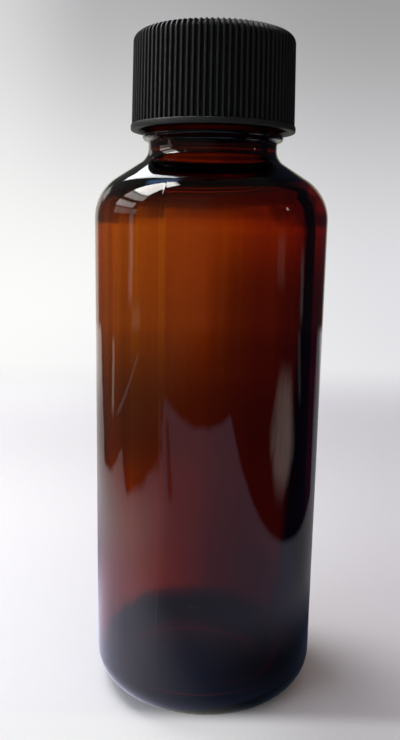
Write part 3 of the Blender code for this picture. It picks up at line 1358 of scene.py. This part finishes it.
@dataclass(frozen=True)
class Window:
    """A window as a lamp: it lights the scene, and no ray that the glass sends out finds it."""

    name: str
    bearing: float
    climb: float
    distance: float
    size: Point
    light: float
    colour: Colour
    fade: float = 0.85

    def place(self) -> Vector:
        """Where its middle is, with the bearing counted clockwise from straight behind.

        Returns:
            The place.
        """
        turn, tilt = radians(self.bearing), radians(self.climb)
        flat = self.distance * cos(tilt)
        return Vector((flat * sin(turn), flat * cos(turn), self.distance * sin(tilt)))


@dataclass(frozen=True)
class Patch:
    """A bright patch of the room that glossy surfaces mirror, by bearing and climb in degrees.

    The lean is how many degrees of bearing the patch slides back for each degree of climb.
    """

    bearings: Span
    climbs: Span
    colour: Colour
    soft: float = 2.5
    lean: float = 0.0

    def cover(self, shading: Shading, bearing: Signal, climb: Signal) -> Signal:
        """How much of a direction the patch fills.

        Args:
            shading: the tree that asks.
            bearing: the direction's bearing.
            climb: its climb.

        Returns:
            A share from 0 to 1, soft at the patch's edges.
        """
        middle, level = sum(self.bearings) / 2, sum(self.climbs) / 2
        wide, tall = self.bearings[1] - middle, self.climbs[1] - level
        across = abs(bearing - middle + (climb - level) * self.lean)
        beside = shading.rise(across, wide + self.soft / 2, wide - self.soft / 2)
        return beside * shading.rise(abs(climb - level), tall + self.soft / 2, tall - self.soft / 2)


WINDOWS = (
    Window("side_window", -55, 60, 0.6, (0.28, 0.36), 9.8, (1.0, 0.98, 0.96)),
    Window("back_window", -34, 50, 0.6, (0.14, 0.34), 1.5, (0.90, 0.95, 1.0)),
    Window("front_window", -122, 13, 0.6, (0.5, 0.25), 9.0, (0.97, 0.98, 1.0)),
)

PATCHES = {
    "paper_left": Patch((-36, -8), (-14, 13), (0.72, 0.69, 0.61), 6.0),
    "paper_right": Patch((-8, 26), (-14, 16), (0.37, 0.37, 0.28), 8.0),
    "sky_beside": Patch((-68, -50), (52, 70), (0.5, 0.9, 1.8), 6.0),
    "top_panes": Patch((-102, -71), (40.5, 69.5), (14.0, 13.6, 13.2), 3.5),
    "middle_panes": Patch((-103.5, -70.5), (30, 38.5), (3.2, 3.2, 3.1)),
    "low_panes": Patch((-97, -69), (17.5, 25.5), (3.0, 2.95, 2.8)),
    "foot_panes": Patch((-104, -71), (7.5, 15.5), (0.9, 0.9, 0.85)),
    "slit": Patch((-100.5, -95.5), (-6, 7), (0.85, 0.85, 0.85)),
    "tall_window": Patch((-37.5, -26), (31, 65), (6.4, 6.5, 7.0), 3.5, 0.31),
    "tall_window_foot": Patch((-41, -29), (13, 21), (0.9, 0.9, 0.85), 3.0),
    "low_left": Patch((-111, -101), (-9.5, -6.8), (0.4, 0.4, 0.4)),
    "lamp": Patch((97.6, 100.4), (18.2, 22.6), (5.0, 4.5, 3.5), 1.5),
    "right_frame": Patch((104.5, 113), (-4.3, -0.6), (0.3, 0.22, 0.19)),
    "right_post": Patch((78, 82.5), (-7.5, -2.2), (0.27, 0.26, 0.27)),
}


@dataclass(frozen=True)
class Tone:
    """A colour that takes over along a measure, from none of it at the start to all of it at the end."""

    start: float
    end: float
    colour: Colour

    def over(self, shading: Shading, measure: Signal, under: Value) -> Signal:
        """Lays the colour over another one.

        Args:
            shading: the tree that asks.
            measure: what it takes over along.
            under: the other colour.

        Returns:
            What shows.
        """
        return shading.mix(shading.rise(measure, self.start, self.end), under, self.colour)


@dataclass(frozen=True)
class Strip:
    """A narrow mark with soft sides and ends, each given as where it starts and where it is full."""

    sides: Span
    ends: tuple[Span, ...]

    def cover(self, shading: Shading, off: Signal, along: Signal) -> Signal:
        """How much of a place the strip covers.

        Args:
            shading: the tree that asks.
            off: how far the place is off the middle line.
            along: how far it is along that line.

        Returns:
            A share from 0 to 1.
        """
        found = shading.rise(off, *self.sides)
        for end in self.ends:
            found = found * shading.rise(along, *end)
        return found


@dataclass(frozen=True)
class MirroredRoom:
    """The room as reflections find it: dim, with windows and pale paper standing in it."""

    wall_turn: Span = (0.3, -0.3)
    right_wall: Colour = (0.015, 0.017, 0.028)
    left_wall: Colour = (0.085, 0.085, 0.08)
    overhead: Tone = Tone(45, 62, (0.05, 0.05, 0.045))
    gap_turn: float = 5.0
    gap_bearings: Span = (34, 22)
    gap_climbs: Span = (34, 42)
    gap_colour: Colour = (0.012, 0.012, 0.03)

    def colour(self, shading: Shading, x: Signal, y: Signal, rise: Signal) -> Signal:
        """The colour of the room in a direction.

        Args:
            shading: the tree that asks.
            x: the way to the right.
            y: the way to the back.
            rise: the way up.

        Returns:
            The colour.
        """
        reach = off_axis(x, y)
        bearing, climb = shading.angle(x, y), shading.angle(rise, reach)
        seen = shading.mix(shading.rise(x / reach, *self.wall_turn), self.right_wall, self.left_wall)
        seen = self.overhead.over(shading, climb, seen)
        gap = shading.rise(abs(bearing + self.gap_turn), *self.gap_bearings)
        seen = shading.mix(gap * shading.rise(climb, *self.gap_climbs), seen, self.gap_colour)
        for patch in PATCHES.values():
            seen = shading.mix(patch.cover(shading, bearing, climb), seen, patch.colour)
        return seen


@dataclass(frozen=True)
class MirroredTable:
    """The table as reflections find it: bright only out to its edges, with shadows lying on it.

    Places are in metres to the right of the object and behind it. The left edge is a table of places
    behind the object, each with the table's reach to the left there.
    """

    left_edge: tuple[Point, ...] = (
        (-0.25, 0.21),
        (-0.20, 0.185),
        (-0.145, 0.135),
        (-0.02, 0.135),
        (0.0, 0.19),
        (0.035, 0.155),
        (0.085, 0.14),
        (0.21, 0.245),
        (0.6, 0.57),
    )
    left_fade: Span = (-0.006, 0.008)
    right_edge: float = 0.0975
    spread_start: float = 0.08
    spread: float = 0.9
    spread_reach: float = 0.1
    right_fade: Span = (0.004, 0.03)
    front_slant: float = 0.06
    front_fade: Span = (-0.246, -0.226)
    wobble_scale: float = 26.0
    wobble: float = 0.03
    wobble_shares: Triple = (0.2, 0.5, 0.3)
    shadow: Strip = Strip((0.011, 0.004), ((-0.184, -0.205), (-0.37, -0.33)))
    shadow_offset: float = 0.0445
    shadow_depth: float = 0.75
    left_back: Colour = (0.32, 0.31, 0.45)
    right_back: Colour = (0.2, 0.2, 0.22)
    back_turn: Span = (0.0, 0.05)
    back_start: Span = (-0.02, 0.03)
    behind: Tone = Tone(0.08, 0.2, (0.6, 0.58, 0.57))
    far_behind: Tone = Tone(0.3, 0.5, (0.92, 0.9, 0.88))
    glare: Tone = Tone(0.075, 0.004, (0.8, 1.1, 1.2))
    glare_offset: float = 0.1
    glare_stretch: float = 0.5
    near_left: Colour = (0.17, 0.22, 0.42)
    near_right: Colour = (0.03, 0.038, 0.065)
    near_turn: Span = (-0.012, 0.034)
    near_reach: Span = (0.064, 0.036)
    lit_place: Point = (0.045, 0.005)
    lit: Tone = Tone(0.06, 0.021, (1.0, 1.0, 1.28))
    beyond: Tone = Tone(-0.05, -0.25, (0.085, 0.085, 0.08))
    beyond_right: Colour = (0.008, 0.01, 0.026)
    post: Strip = Strip((0.06, 0.01), ((0.25, 0.32),))
    post_line: Point = (0.037, 0.063)
    post_colour: Colour = (0.17, 0.17, 0.18)
    gleam: Strip = Strip((0.05, 0.02), ((-0.22, -0.26), (-0.5, -0.43)))
    gleam_slope: float = 0.29
    gleam_colour: Colour = (1.0, 0.95, 0.82)
    crack: Strip = Strip((0.009, 0.003), ((-0.42, -0.38), (-0.235, -0.26)))
    crack_line: Triple = (0.733, 0.678, 0.2013)
    crack_colour: Colour = (0.45, 0.45, 0.48)
    spot: Strip = Strip((1.3, 0.45), ((0.12, 0.17), (0.42, 0.26)))
    spot_start: Point = (0.13, 0.04)
    spot_slant: float = 0.1
    spot_turn: Span = (0.11, 0.21)
    spot_widths: Span = (0.012, 0.056)
    spot_colour: Colour = (0.95, 0.78, 0.70)
    grain_scale: float = 60.0
    grain_stretch: Triple = (0.2, 1, 1)
    grain_shift: float = 0.02
    grain_light: Span = (0.35, 1.1)
    foot_left: Colour = (0.5, 0.5, 0.46)
    foot_right: Colour = (0.03, 0.04, 0.06)
    foot_turn: Span = (-0.006, 0.012)
    foot_lean: float = 0.25
    foot_reach: Span = (0.0235, 0.0205)

    def colour(self, shading: Shading, place: Signal, x: Signal, y: Signal) -> Signal:
        """The colour of a place on the table.

        Args:
            shading: the tree that asks.
            place: the place.
            x: its place to the right of the object.
            y: its place behind the object.

        Returns:
            The colour.
        """
        beyond = self.beyond.over(shading, x, self.beyond_right)
        sheen = shading.mix(self._extent(shading, place, x, y), beyond, self._haze(shading, x, y))
        start, slant = self.post_line
        post = self.post.cover(shading, abs(y - start - x * slant) / x, x)
        sheen = shading.mix(post, sheen, self.post_colour)
        gleam = self.gleam.cover(shading, abs(y / x + self.gleam_slope), x)
        sheen = shading.mix(gleam, sheen, self.gleam_colour)
        right, back, offset = self.crack_line
        crack = self.crack.cover(shading, abs(x * right - y * back + offset), x)
        sheen = shading.mix(crack, sheen, self.crack_colour)
        sheen = shading.mix(self._spot(shading, place, x, y), sheen, self.spot_colour)
        # painted shade at the object's foot, as reflections find the table there
        foot = shading.mix(shading.rise(x, *self.foot_turn), self.foot_left, self.foot_right)
        by_foot = shading.rise(off_axis(x, y) - x * self.foot_lean, *self.foot_reach)
        return shading.mix(by_foot, sheen, foot)

    def _extent(self, shading: Shading, place: Signal, x: Signal, y: Signal) -> Signal:
        """How far the bright table goes, less a slanting shadow.

        Args:
            shading: the tree that asks.
            place: the place.
            x: its place to the right of the object.
            y: its place behind the object.

        Returns:
            A share from 0 to 1.
        """
        wobble = shading.noise(place, self.wobble_scale, 2) * self.wobble - self.wobble / 2
        right, front, streak = self.wobble_shares
        table = shading.rise(x + shading.read(y, self.left_edge) + wobble, *self.left_fade)
        spread = shading.most((y - self.spread_start) * self.spread, 0.0)
        soft = shading.rise(spread, 0.0, self.spread_reach, self.right_fade)
        table = table * shading.rise((x - spread + wobble * right - self.right_edge) / soft, 1.0, -1.0)
        table = table * shading.rise(y + x * self.front_slant + wobble * front, *self.front_fade)
        off = abs(x - y - self.shadow_offset + wobble * streak)
        return table * (1 - self.shadow.cover(shading, off, x + y) * self.shadow_depth)

    def _haze(self, shading: Shading, x: Signal, y: Signal) -> Signal:
        """The colour of the bright table, without its marks.

        Args:
            shading: the tree that asks.
            x: the place to the right of the object.
            y: the place behind the object.

        Returns:
            The colour.
        """
        back_right = shading.rise(x, *self.back_turn) * shading.rise(y, *self.back_start)
        haze = shading.mix(back_right, self.left_back, self.right_back)
        haze = self.behind.over(shading, y - x, haze)
        haze = self.far_behind.over(shading, y - x, haze)
        haze = self.glare.over(shading, off_axis(x + self.glare_offset, y * self.glare_stretch), haze)
        near = shading.mix(shading.rise(x, *self.near_turn), self.near_left, self.near_right)
        haze = shading.mix(shading.rise(off_axis(x, y), *self.near_reach), haze, near)
        left, front = self.lit_place
        return self.lit.over(shading, off_axis(x + left, y + front), haze)

    def _spot(self, shading: Shading, place: Signal, x: Signal, y: Signal) -> Signal:
        """How much of the grainy bright spot at the right lies at a place.

        Args:
            shading: the tree that asks.
            place: the place.
            x: its place to the right of the object.
            y: its place behind the object.

        Returns:
            A share.
        """
        grain = shading.noise(shading.stretched(place, self.grain_stretch), self.grain_scale, 2)
        right, front = self.spot_start
        off = abs(y + front + (x - right) * self.spot_slant + (grain - 0.5) * self.grain_shift)
        width = shading.rise(x, *self.spot_turn, self.spot_widths)
        base, contrast = self.grain_light
        return self.spot.cover(shading, off / width, x) * (grain * contrast + base)


@dataclass(frozen=True)
class GlassView:
    """What shows through glass: the pale backdrop, dimmer towards the near table and off to the right.

    The slope of a place is its rise for each metre of distance. Its side and its lead are the shares of
    that distance to the right and to the back. The levels are a table of slopes and brightnesses.
    """

    levels: tuple[Point, ...] = (
        (-0.6, 0.8),
        (-0.5, 0.8),
        (-0.34, 0.64),
        (-0.2, 0.66),
        (-0.128, 0.51),
        (-0.08, 0.52),
        (-0.034, 0.61),
        (0.015, 0.69),
        (0.05, 0.73),
        (0.106, 0.734),
        (0.122, 0.665),
        (0.141, 0.43),
        (0.159, 0.26),
        (0.203, 0.19),
        (0.294, 0.155),
        (0.409, 0.086),
        (0.533, 0.026),
        (0.72, 0.0035),
        (1.0, 0.003),
    )
    low_slopes: Span = (0.05, -0.06)
    foot_slopes: Span = (-0.14, -0.22)
    foot_share: float = 0.4
    right_sides: Span = (0.0, 0.13)
    right_shade: float = 0.48
    far_right_sides: Span = (0.13, 0.4)
    far_right_shade: float = 0.24
    wall_sides: Span = (0.64, 0.7)
    wall_leads: Span = (-0.2, 0.2)
    wall_shade: float = 0.97
    beam_line: float = 0.56
    beam_width: Span = (0.2, 0.08)
    beam_leads: Span = (0.2, 0.4)
    beam_slopes: Span = (-0.62, -0.36)
    beam_light: float = 0.45
    front_leads: Span = (0.2, -0.2)
    front_shade: float = 0.8
    dark: Colour = (0.004, 0.004, 0.006)
    bright: Colour = (1.0, 0.98, 0.96)

    def light(self, shading: Shading, x: Signal, y: Signal, rise: Signal) -> tuple[Signal, Signal]:
        """How bright a far place is when it is seen through glass.

        Args:
            shading: the tree that asks.
            x: the place to the right of the object.
            y: the place behind the object.
            rise: its height over the middle of the object.

        Returns:
            The brightness, and the distance from the axis.
        """
        reach = off_axis(x, y)
        slope, side, lead = rise / reach, x / reach, y / reach
        low = shading.rise(slope, *self.low_slopes)
        low = low * (1 - shading.rise(slope, *self.foot_slopes) * self.foot_share)
        right = shading.rise(side, *self.right_sides) * self.right_shade
        right = right + shading.rise(side, *self.far_right_sides) * self.far_right_shade
        wall = shading.rise(side, *self.wall_sides) * shading.rise(lead, *self.wall_leads)
        light = (1 - low * right) * (1 - wall * self.wall_shade)
        beam = shading.rise(abs(x / y + self.beam_line), *self.beam_width)
        beam = beam * shading.rise(lead, *self.beam_leads)
        light = light + beam * shading.rise(slope, *self.beam_slopes) * self.beam_light
        light = light * (1 - shading.rise(lead, *self.front_leads) * self.front_shade)
        return light * shading.read(slope, self.levels), reach

    def colour(self, shading: Shading, light: Signal) -> Signal:
        """The colour of a brightness."""
        return shading.mix(light, self.dark, self.bright)


@dataclass(frozen=True)
class TablePaper:
    """The pale paper of table and backdrop as the camera sees it, with the light of the backdrop in it."""

    paper_lit_left: Colour = (0.87, 0.88, 0.91)
    paper_shaded_right: Colour = (0.68, 0.68, 0.74)
    paper_slant: float = 0.1
    paper_turn: Span = (-0.09, 0.10)
    dip_place: float = 0.17
    dip_reach: Span = (0.1, 0.0)
    dip_share: float = 0.3
    dip_colour: Colour = (0.6, 0.6, 0.64)
    fibre_scale: float = 300.0
    fibre_share: float = 0.06
    fibre_colour: Colour = (0.6, 0.6, 0.66)
    roughness: Span = (0.7, 0.1)
    backdrop_turn: Span = (-0.2, 0.22)
    left_foot: Colour = (0.98, 0.98, 0.97)
    right_foot: Colour = (0.76, 0.76, 0.79)
    left_top: Colour = (0.44, 0.44, 0.45)
    right_top: Colour = (0.33, 0.33, 0.33)
    corner: Tone = Tone(-0.14, -0.3, (0.66, 0.66, 0.67))
    top_heights: Span = (-0.02, 0.42)
    backdrop_start: Span = (0.2, 0.36)
    painted_light_start: Span = (-0.0155, -0.021)
    painted_light_turn: Span = (-0.002, 0.03)
    painted_light_shares: Span = (0.6, 0.3)

    def sheet(self, shading: Shading, place: Signal, x: Signal, y: Signal) -> Signal:
        """Makes the paper under the windows' light.

        Args:
            shading: the tree that asks.
            place: the place on the sheet.
            x: its place to the right of the object.
            y: its place behind the object.

        Returns:
            The shader.
        """
        fibre = shading.noise(place, self.fibre_scale, 3, 0.6)
        # painted shade: the paper is darker towards the right, where the windows' light falls off
        across = shading.rise(x + y * self.paper_slant, *self.paper_turn)
        paper = shading.mix(across, self.paper_lit_left, self.paper_shaded_right)
        dip = shading.rise(abs(y - self.dip_place), *self.dip_reach)
        paper = shading.mix(dip * self.dip_share, paper, self.dip_colour)
        paper = shading.mix(fibre * self.fibre_share, paper, self.fibre_colour)
        smooth, gain = self.roughness
        sockets = {"Base Color": paper, "Roughness": smooth + fibre * gain}
        return shading.add("ShaderNodeBsdfPrincipled", None, sockets)

    def backdrop(self, shading: Shading, x: Signal, z: Signal) -> Signal:
        """Makes the backdrop, which shines by itself.

        Args:
            shading: the tree that asks.
            x: the place to the right of the object.
            z: its height.

        Returns:
            The shader.
        """
        lit = shading.mix(shading.rise(x, *self.backdrop_turn), self.left_foot, self.right_foot)
        upper = shading.mix(shading.rise(x, *self.backdrop_turn), self.left_top, self.right_top)
        upper = self.corner.over(shading, x, upper)
        return shading.glow(shading.mix(shading.rise(z, *self.top_heights), lit, upper))

    def shown(self, shading: Shading, x: Signal, y: Signal) -> Signal:
        """How much of the backdrop's own light the camera sees, and the painted light on the strip right
        before the base.

        Args:
            shading: the tree that asks.
            x: the place to the right of the object.
            y: the place behind the object.

        Returns:
            A share from 0 to 1.
        """
        # painted light on the table right before the base, which lifts the shade there
        before = shading.rise(y, *self.painted_light_start)
        before = before * shading.rise(x, *self.painted_light_turn, self.painted_light_shares)
        return shading.rise(y, *self.backdrop_start) + before


@dataclass
class Studio:
    """A pale table that sweeps up behind, windows to the left and a dim room around.

    Reflections find the table only out to its edges, with the dim room past them. Through the glass the
    table is dimmer than what lies far off, but for a bright part near the object and a dark one at its foot.
    """

    front: float = -0.9
    back: float = 0.9
    half_width: float = 1.3
    sweep_radius: float = 0.35
    wall_height: float = 1.1
    table_step: float = 0.05
    wall_step: float = 0.1
    eye_height: float = 0.06
    mirror_height: float = 0.085
    room_start: Span = (0.5, 0.6)
    paper: TablePaper = TablePaper()
    room: MirroredRoom = MirroredRoom()
    table: MirroredTable = MirroredTable()
    view: GlassView = GlassView()
    near_reach: Span = (0.16, 0.07)
    near_sides: Span = (0.12, -0.47)
    near_light: float = 0.5
    table_reach: Span = (0.2, 0.6)
    table_light: Span = (0.26, 1)
    foot_reach: Span = (0.026, 0.04)
    window_side: Colour = (0.49, 0.5, 0.55)
    far_side: Colour = (0.24, 0.14, 0.06)
    shade_way: Point = (0.8, 0.6)
    shade_turn: Span = (-0.5, 0.5)
    camera_sky: Colour = (0.66, 0.67, 0.71)

    def table_material(self) -> bpy.types.Material:
        """Makes the pale paper of the table and backdrop.

        Returns:
            The material.
        """
        material, shading = Shading.of_material("pale_table")
        place = shading.place()
        x, y, z = shading.split(place)
        shown = self.paper.shown(shading, x, y) * shading.ray("Is Camera Ray")
        sheet = self.paper.sheet(shading, place, x, y)
        seen = shading.choose(shown, sheet, self.paper.backdrop(shading, x, z))

        far_off = shading.rise(off_axis(x, y), *self.room_start)
        room = self.room.colour(shading, x, y, z - self.mirror_height)
        sheen = shading.mix(far_off, self.table.colour(shading, place, x, y), room)
        seen = shading.choose(shading.ray("Is Glossy Ray"), seen, shading.glow(sheen))

        light, reach = self.view.light(shading, x, y, z - self.eye_height)
        near = shading.rise(reach, *self.near_reach) * shading.rise(x / reach, *self.near_sides)
        light = light * (shading.rise(reach, *self.table_reach, self.table_light) + near * self.near_light)
        # painted shadow: the table seen through the glass goes dark at the object's foot
        light = light * shading.rise(reach, *self.foot_reach)
        passed = shading.glow(self.view.colour(shading, light))
        shading.finish_with(shading.choose(shading.ray("Is Transmission Ray"), seen, passed))
        return material

    def build_table(self) -> bpy.types.Object:
        """Makes the table and the backdrop as one swept sheet.

        Returns:
            The sheet.
        """
        outline: list[Point] = [(self.front, 0.0)]
        outline += line(outline[0], (self.back - self.sweep_radius, 0.0), self.table_step)
        outline += arc((self.back - self.sweep_radius, self.sweep_radius), self.sweep_radius, -90, 0, 24)[1:]
        outline += line((self.back, self.sweep_radius), (self.back, self.wall_height), self.wall_step)
        points = [(side * self.half_width, y, z) for y, z in outline for side in (-1, 1)]
        faces = [(2 * i, 2 * i + 1, 2 * i + 3, 2 * i + 2) for i in range(len(outline) - 1)]
        mesh = bpy.data.meshes.new("table_sweep")
        mesh.from_pydata(points, [], faces)
        mesh.materials.append(self.table_material())
        mesh.shade_smooth()
        sheet = bpy.data.objects.new("table_sweep", mesh)
        bpy.context.scene.collection.objects.link(sheet)
        return sheet

    def build_window(self, window: Window) -> bpy.types.Object:
        """Makes a window light, a bright card that dims towards its edges.

        Args:
            window: its place, size and light.

        Returns:
            The card.
        """
        material, shading = Shading.of_material(window.name)
        x, y, _ = shading.split(shading.place())
        width, height = (size / 2 for size in window.size)
        fade = shading.rise(abs(x), width, width * window.fade)
        fade = fade * shading.rise(abs(y), height, height * window.fade)
        shading.finish_with(shading.glow(shading.mix(fade, (0, 0, 0), window.colour), window.light))
        mesh = bpy.data.meshes.new(window.name)
        corners = [(-width, -height, 0), (width, -height, 0), (width, height, 0), (-width, height, 0)]
        mesh.from_pydata(corners, [], [(0, 1, 2, 3)])
        mesh.materials.append(material)
        card = bpy.data.objects.new(window.name, mesh)
        bpy.context.scene.collection.objects.link(card)
        card.location = window.place()
        aim = -card.location
        card.rotation_euler = aim.to_track_quat("Z", "Y").to_euler()
        card.visible_camera = False
        card.visible_glossy = False
        card.visible_transmission = False
        return card

    def build_surroundings(self) -> None:
        """Makes the world: pale where the camera sees it, a dim room for reflections."""
        world = bpy.data.worlds.new("soft_room")
        world.use_nodes = True
        world.cycles.sampling_method = "NONE"
        bpy.context.scene.world = world
        shading = Shading(world.node_tree)
        x, y, z = shading.split(shading.add("ShaderNodeTexCoord", output="Generated"))
        light, _ = self.view.light(shading, x, y, z)
        right, back = self.shade_way
        shaded = shading.rise(x * right + y * back, *self.shade_turn)
        seen = shading.mix(shaded, self.window_side, self.far_side)
        seen = shading.mix(shading.ray("Is Glossy Ray"), seen, self.room.colour(shading, x, y, z))
        through = self.view.colour(shading, light)
        seen = shading.mix(shading.ray("Is Transmission Ray"), seen, through)
        seen = shading.mix(shading.ray("Is Camera Ray"), seen, self.camera_sky)
        background = shading.add("ShaderNodeBackground", None, {"Color": seen, "Strength": 1.0})
        shading.finish_with(background, output="ShaderNodeOutputWorld")


@dataclass
class Viewpoint:
    """The camera at the photograph's viewing angle, close to the object and a little above its middle.

    Its three angles are in radians.
    """

    place: Triple = (0.0, -0.15126, 0.09399)
    pitch: float = 0.1916
    yaw: float = -0.0108
    roll: float = 0.0182
    focal_pixels: float = 769.159
    long_side: float = 740.0
    sensor: float = 36.0
    near: float = 0.005
    far: float = 20.0

    def build(self) -> bpy.types.Object:
        """Makes the camera and gives it to the scene.

        Returns:
            The camera.
        """
        forward = Vector(
            (sin(self.yaw) * cos(self.pitch), cos(self.yaw) * cos(self.pitch), -sin(self.pitch))
        )
        right = Vector((cos(self.yaw), -sin(self.yaw), 0))
        up = right.cross(forward)
        across = right * cos(self.roll) + up * sin(self.roll)
        upright = up * cos(self.roll) - right * sin(self.roll)
        data = bpy.data.cameras.new("camera")
        data.sensor_width = self.sensor
        data.lens = self.focal_pixels / self.long_side * data.sensor_width
        data.clip_start = self.near
        data.clip_end = self.far
        camera = bpy.data.objects.new("camera", data)
        bpy.context.scene.collection.objects.link(camera)
        axes = Matrix((across, upright, -forward)).transposed().to_4x4()
        camera.matrix_world = Matrix.Translation(self.place) @ axes
        bpy.context.scene.camera = camera
        return camera


def main() -> None:
    """Builds the object and its studio in order."""
    logging.basicConfig(level=logging.INFO, format="%(message)s")
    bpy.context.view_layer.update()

    bottle = GlassBottle()
    glass = bottle.dress(bottle.build(AmberGlass()))
    log.info("%s: %d faces", glass.name, len(glass.data.polygons))

    cap = ScrewCap(rim_height=bottle.bead_height + bottle.bead_half_height + REST_GAP)
    moulding = cap.dress(cap.build(RibbedPlastic()))
    log.info("%s: %d faces", moulding.name, len(moulding.data.polygons))

    liner = CapLiner(bottle.lip_height + REST_GAP, (bottle.bore_radius, bottle.finish_radius))
    disc = liner.dress(liner.build(FoamLiner()))
    log.info("%s: %d faces", disc.name, len(disc.data.polygons))

    studio = Studio()
    studio.build_table()
    for window in WINDOWS:
        studio.build_window(window)
    studio.build_surroundings()
    Viewpoint().build()

    bpy.context.scene.view_settings.view_transform = "Standard"


if __name__ == "__main__":
    main()
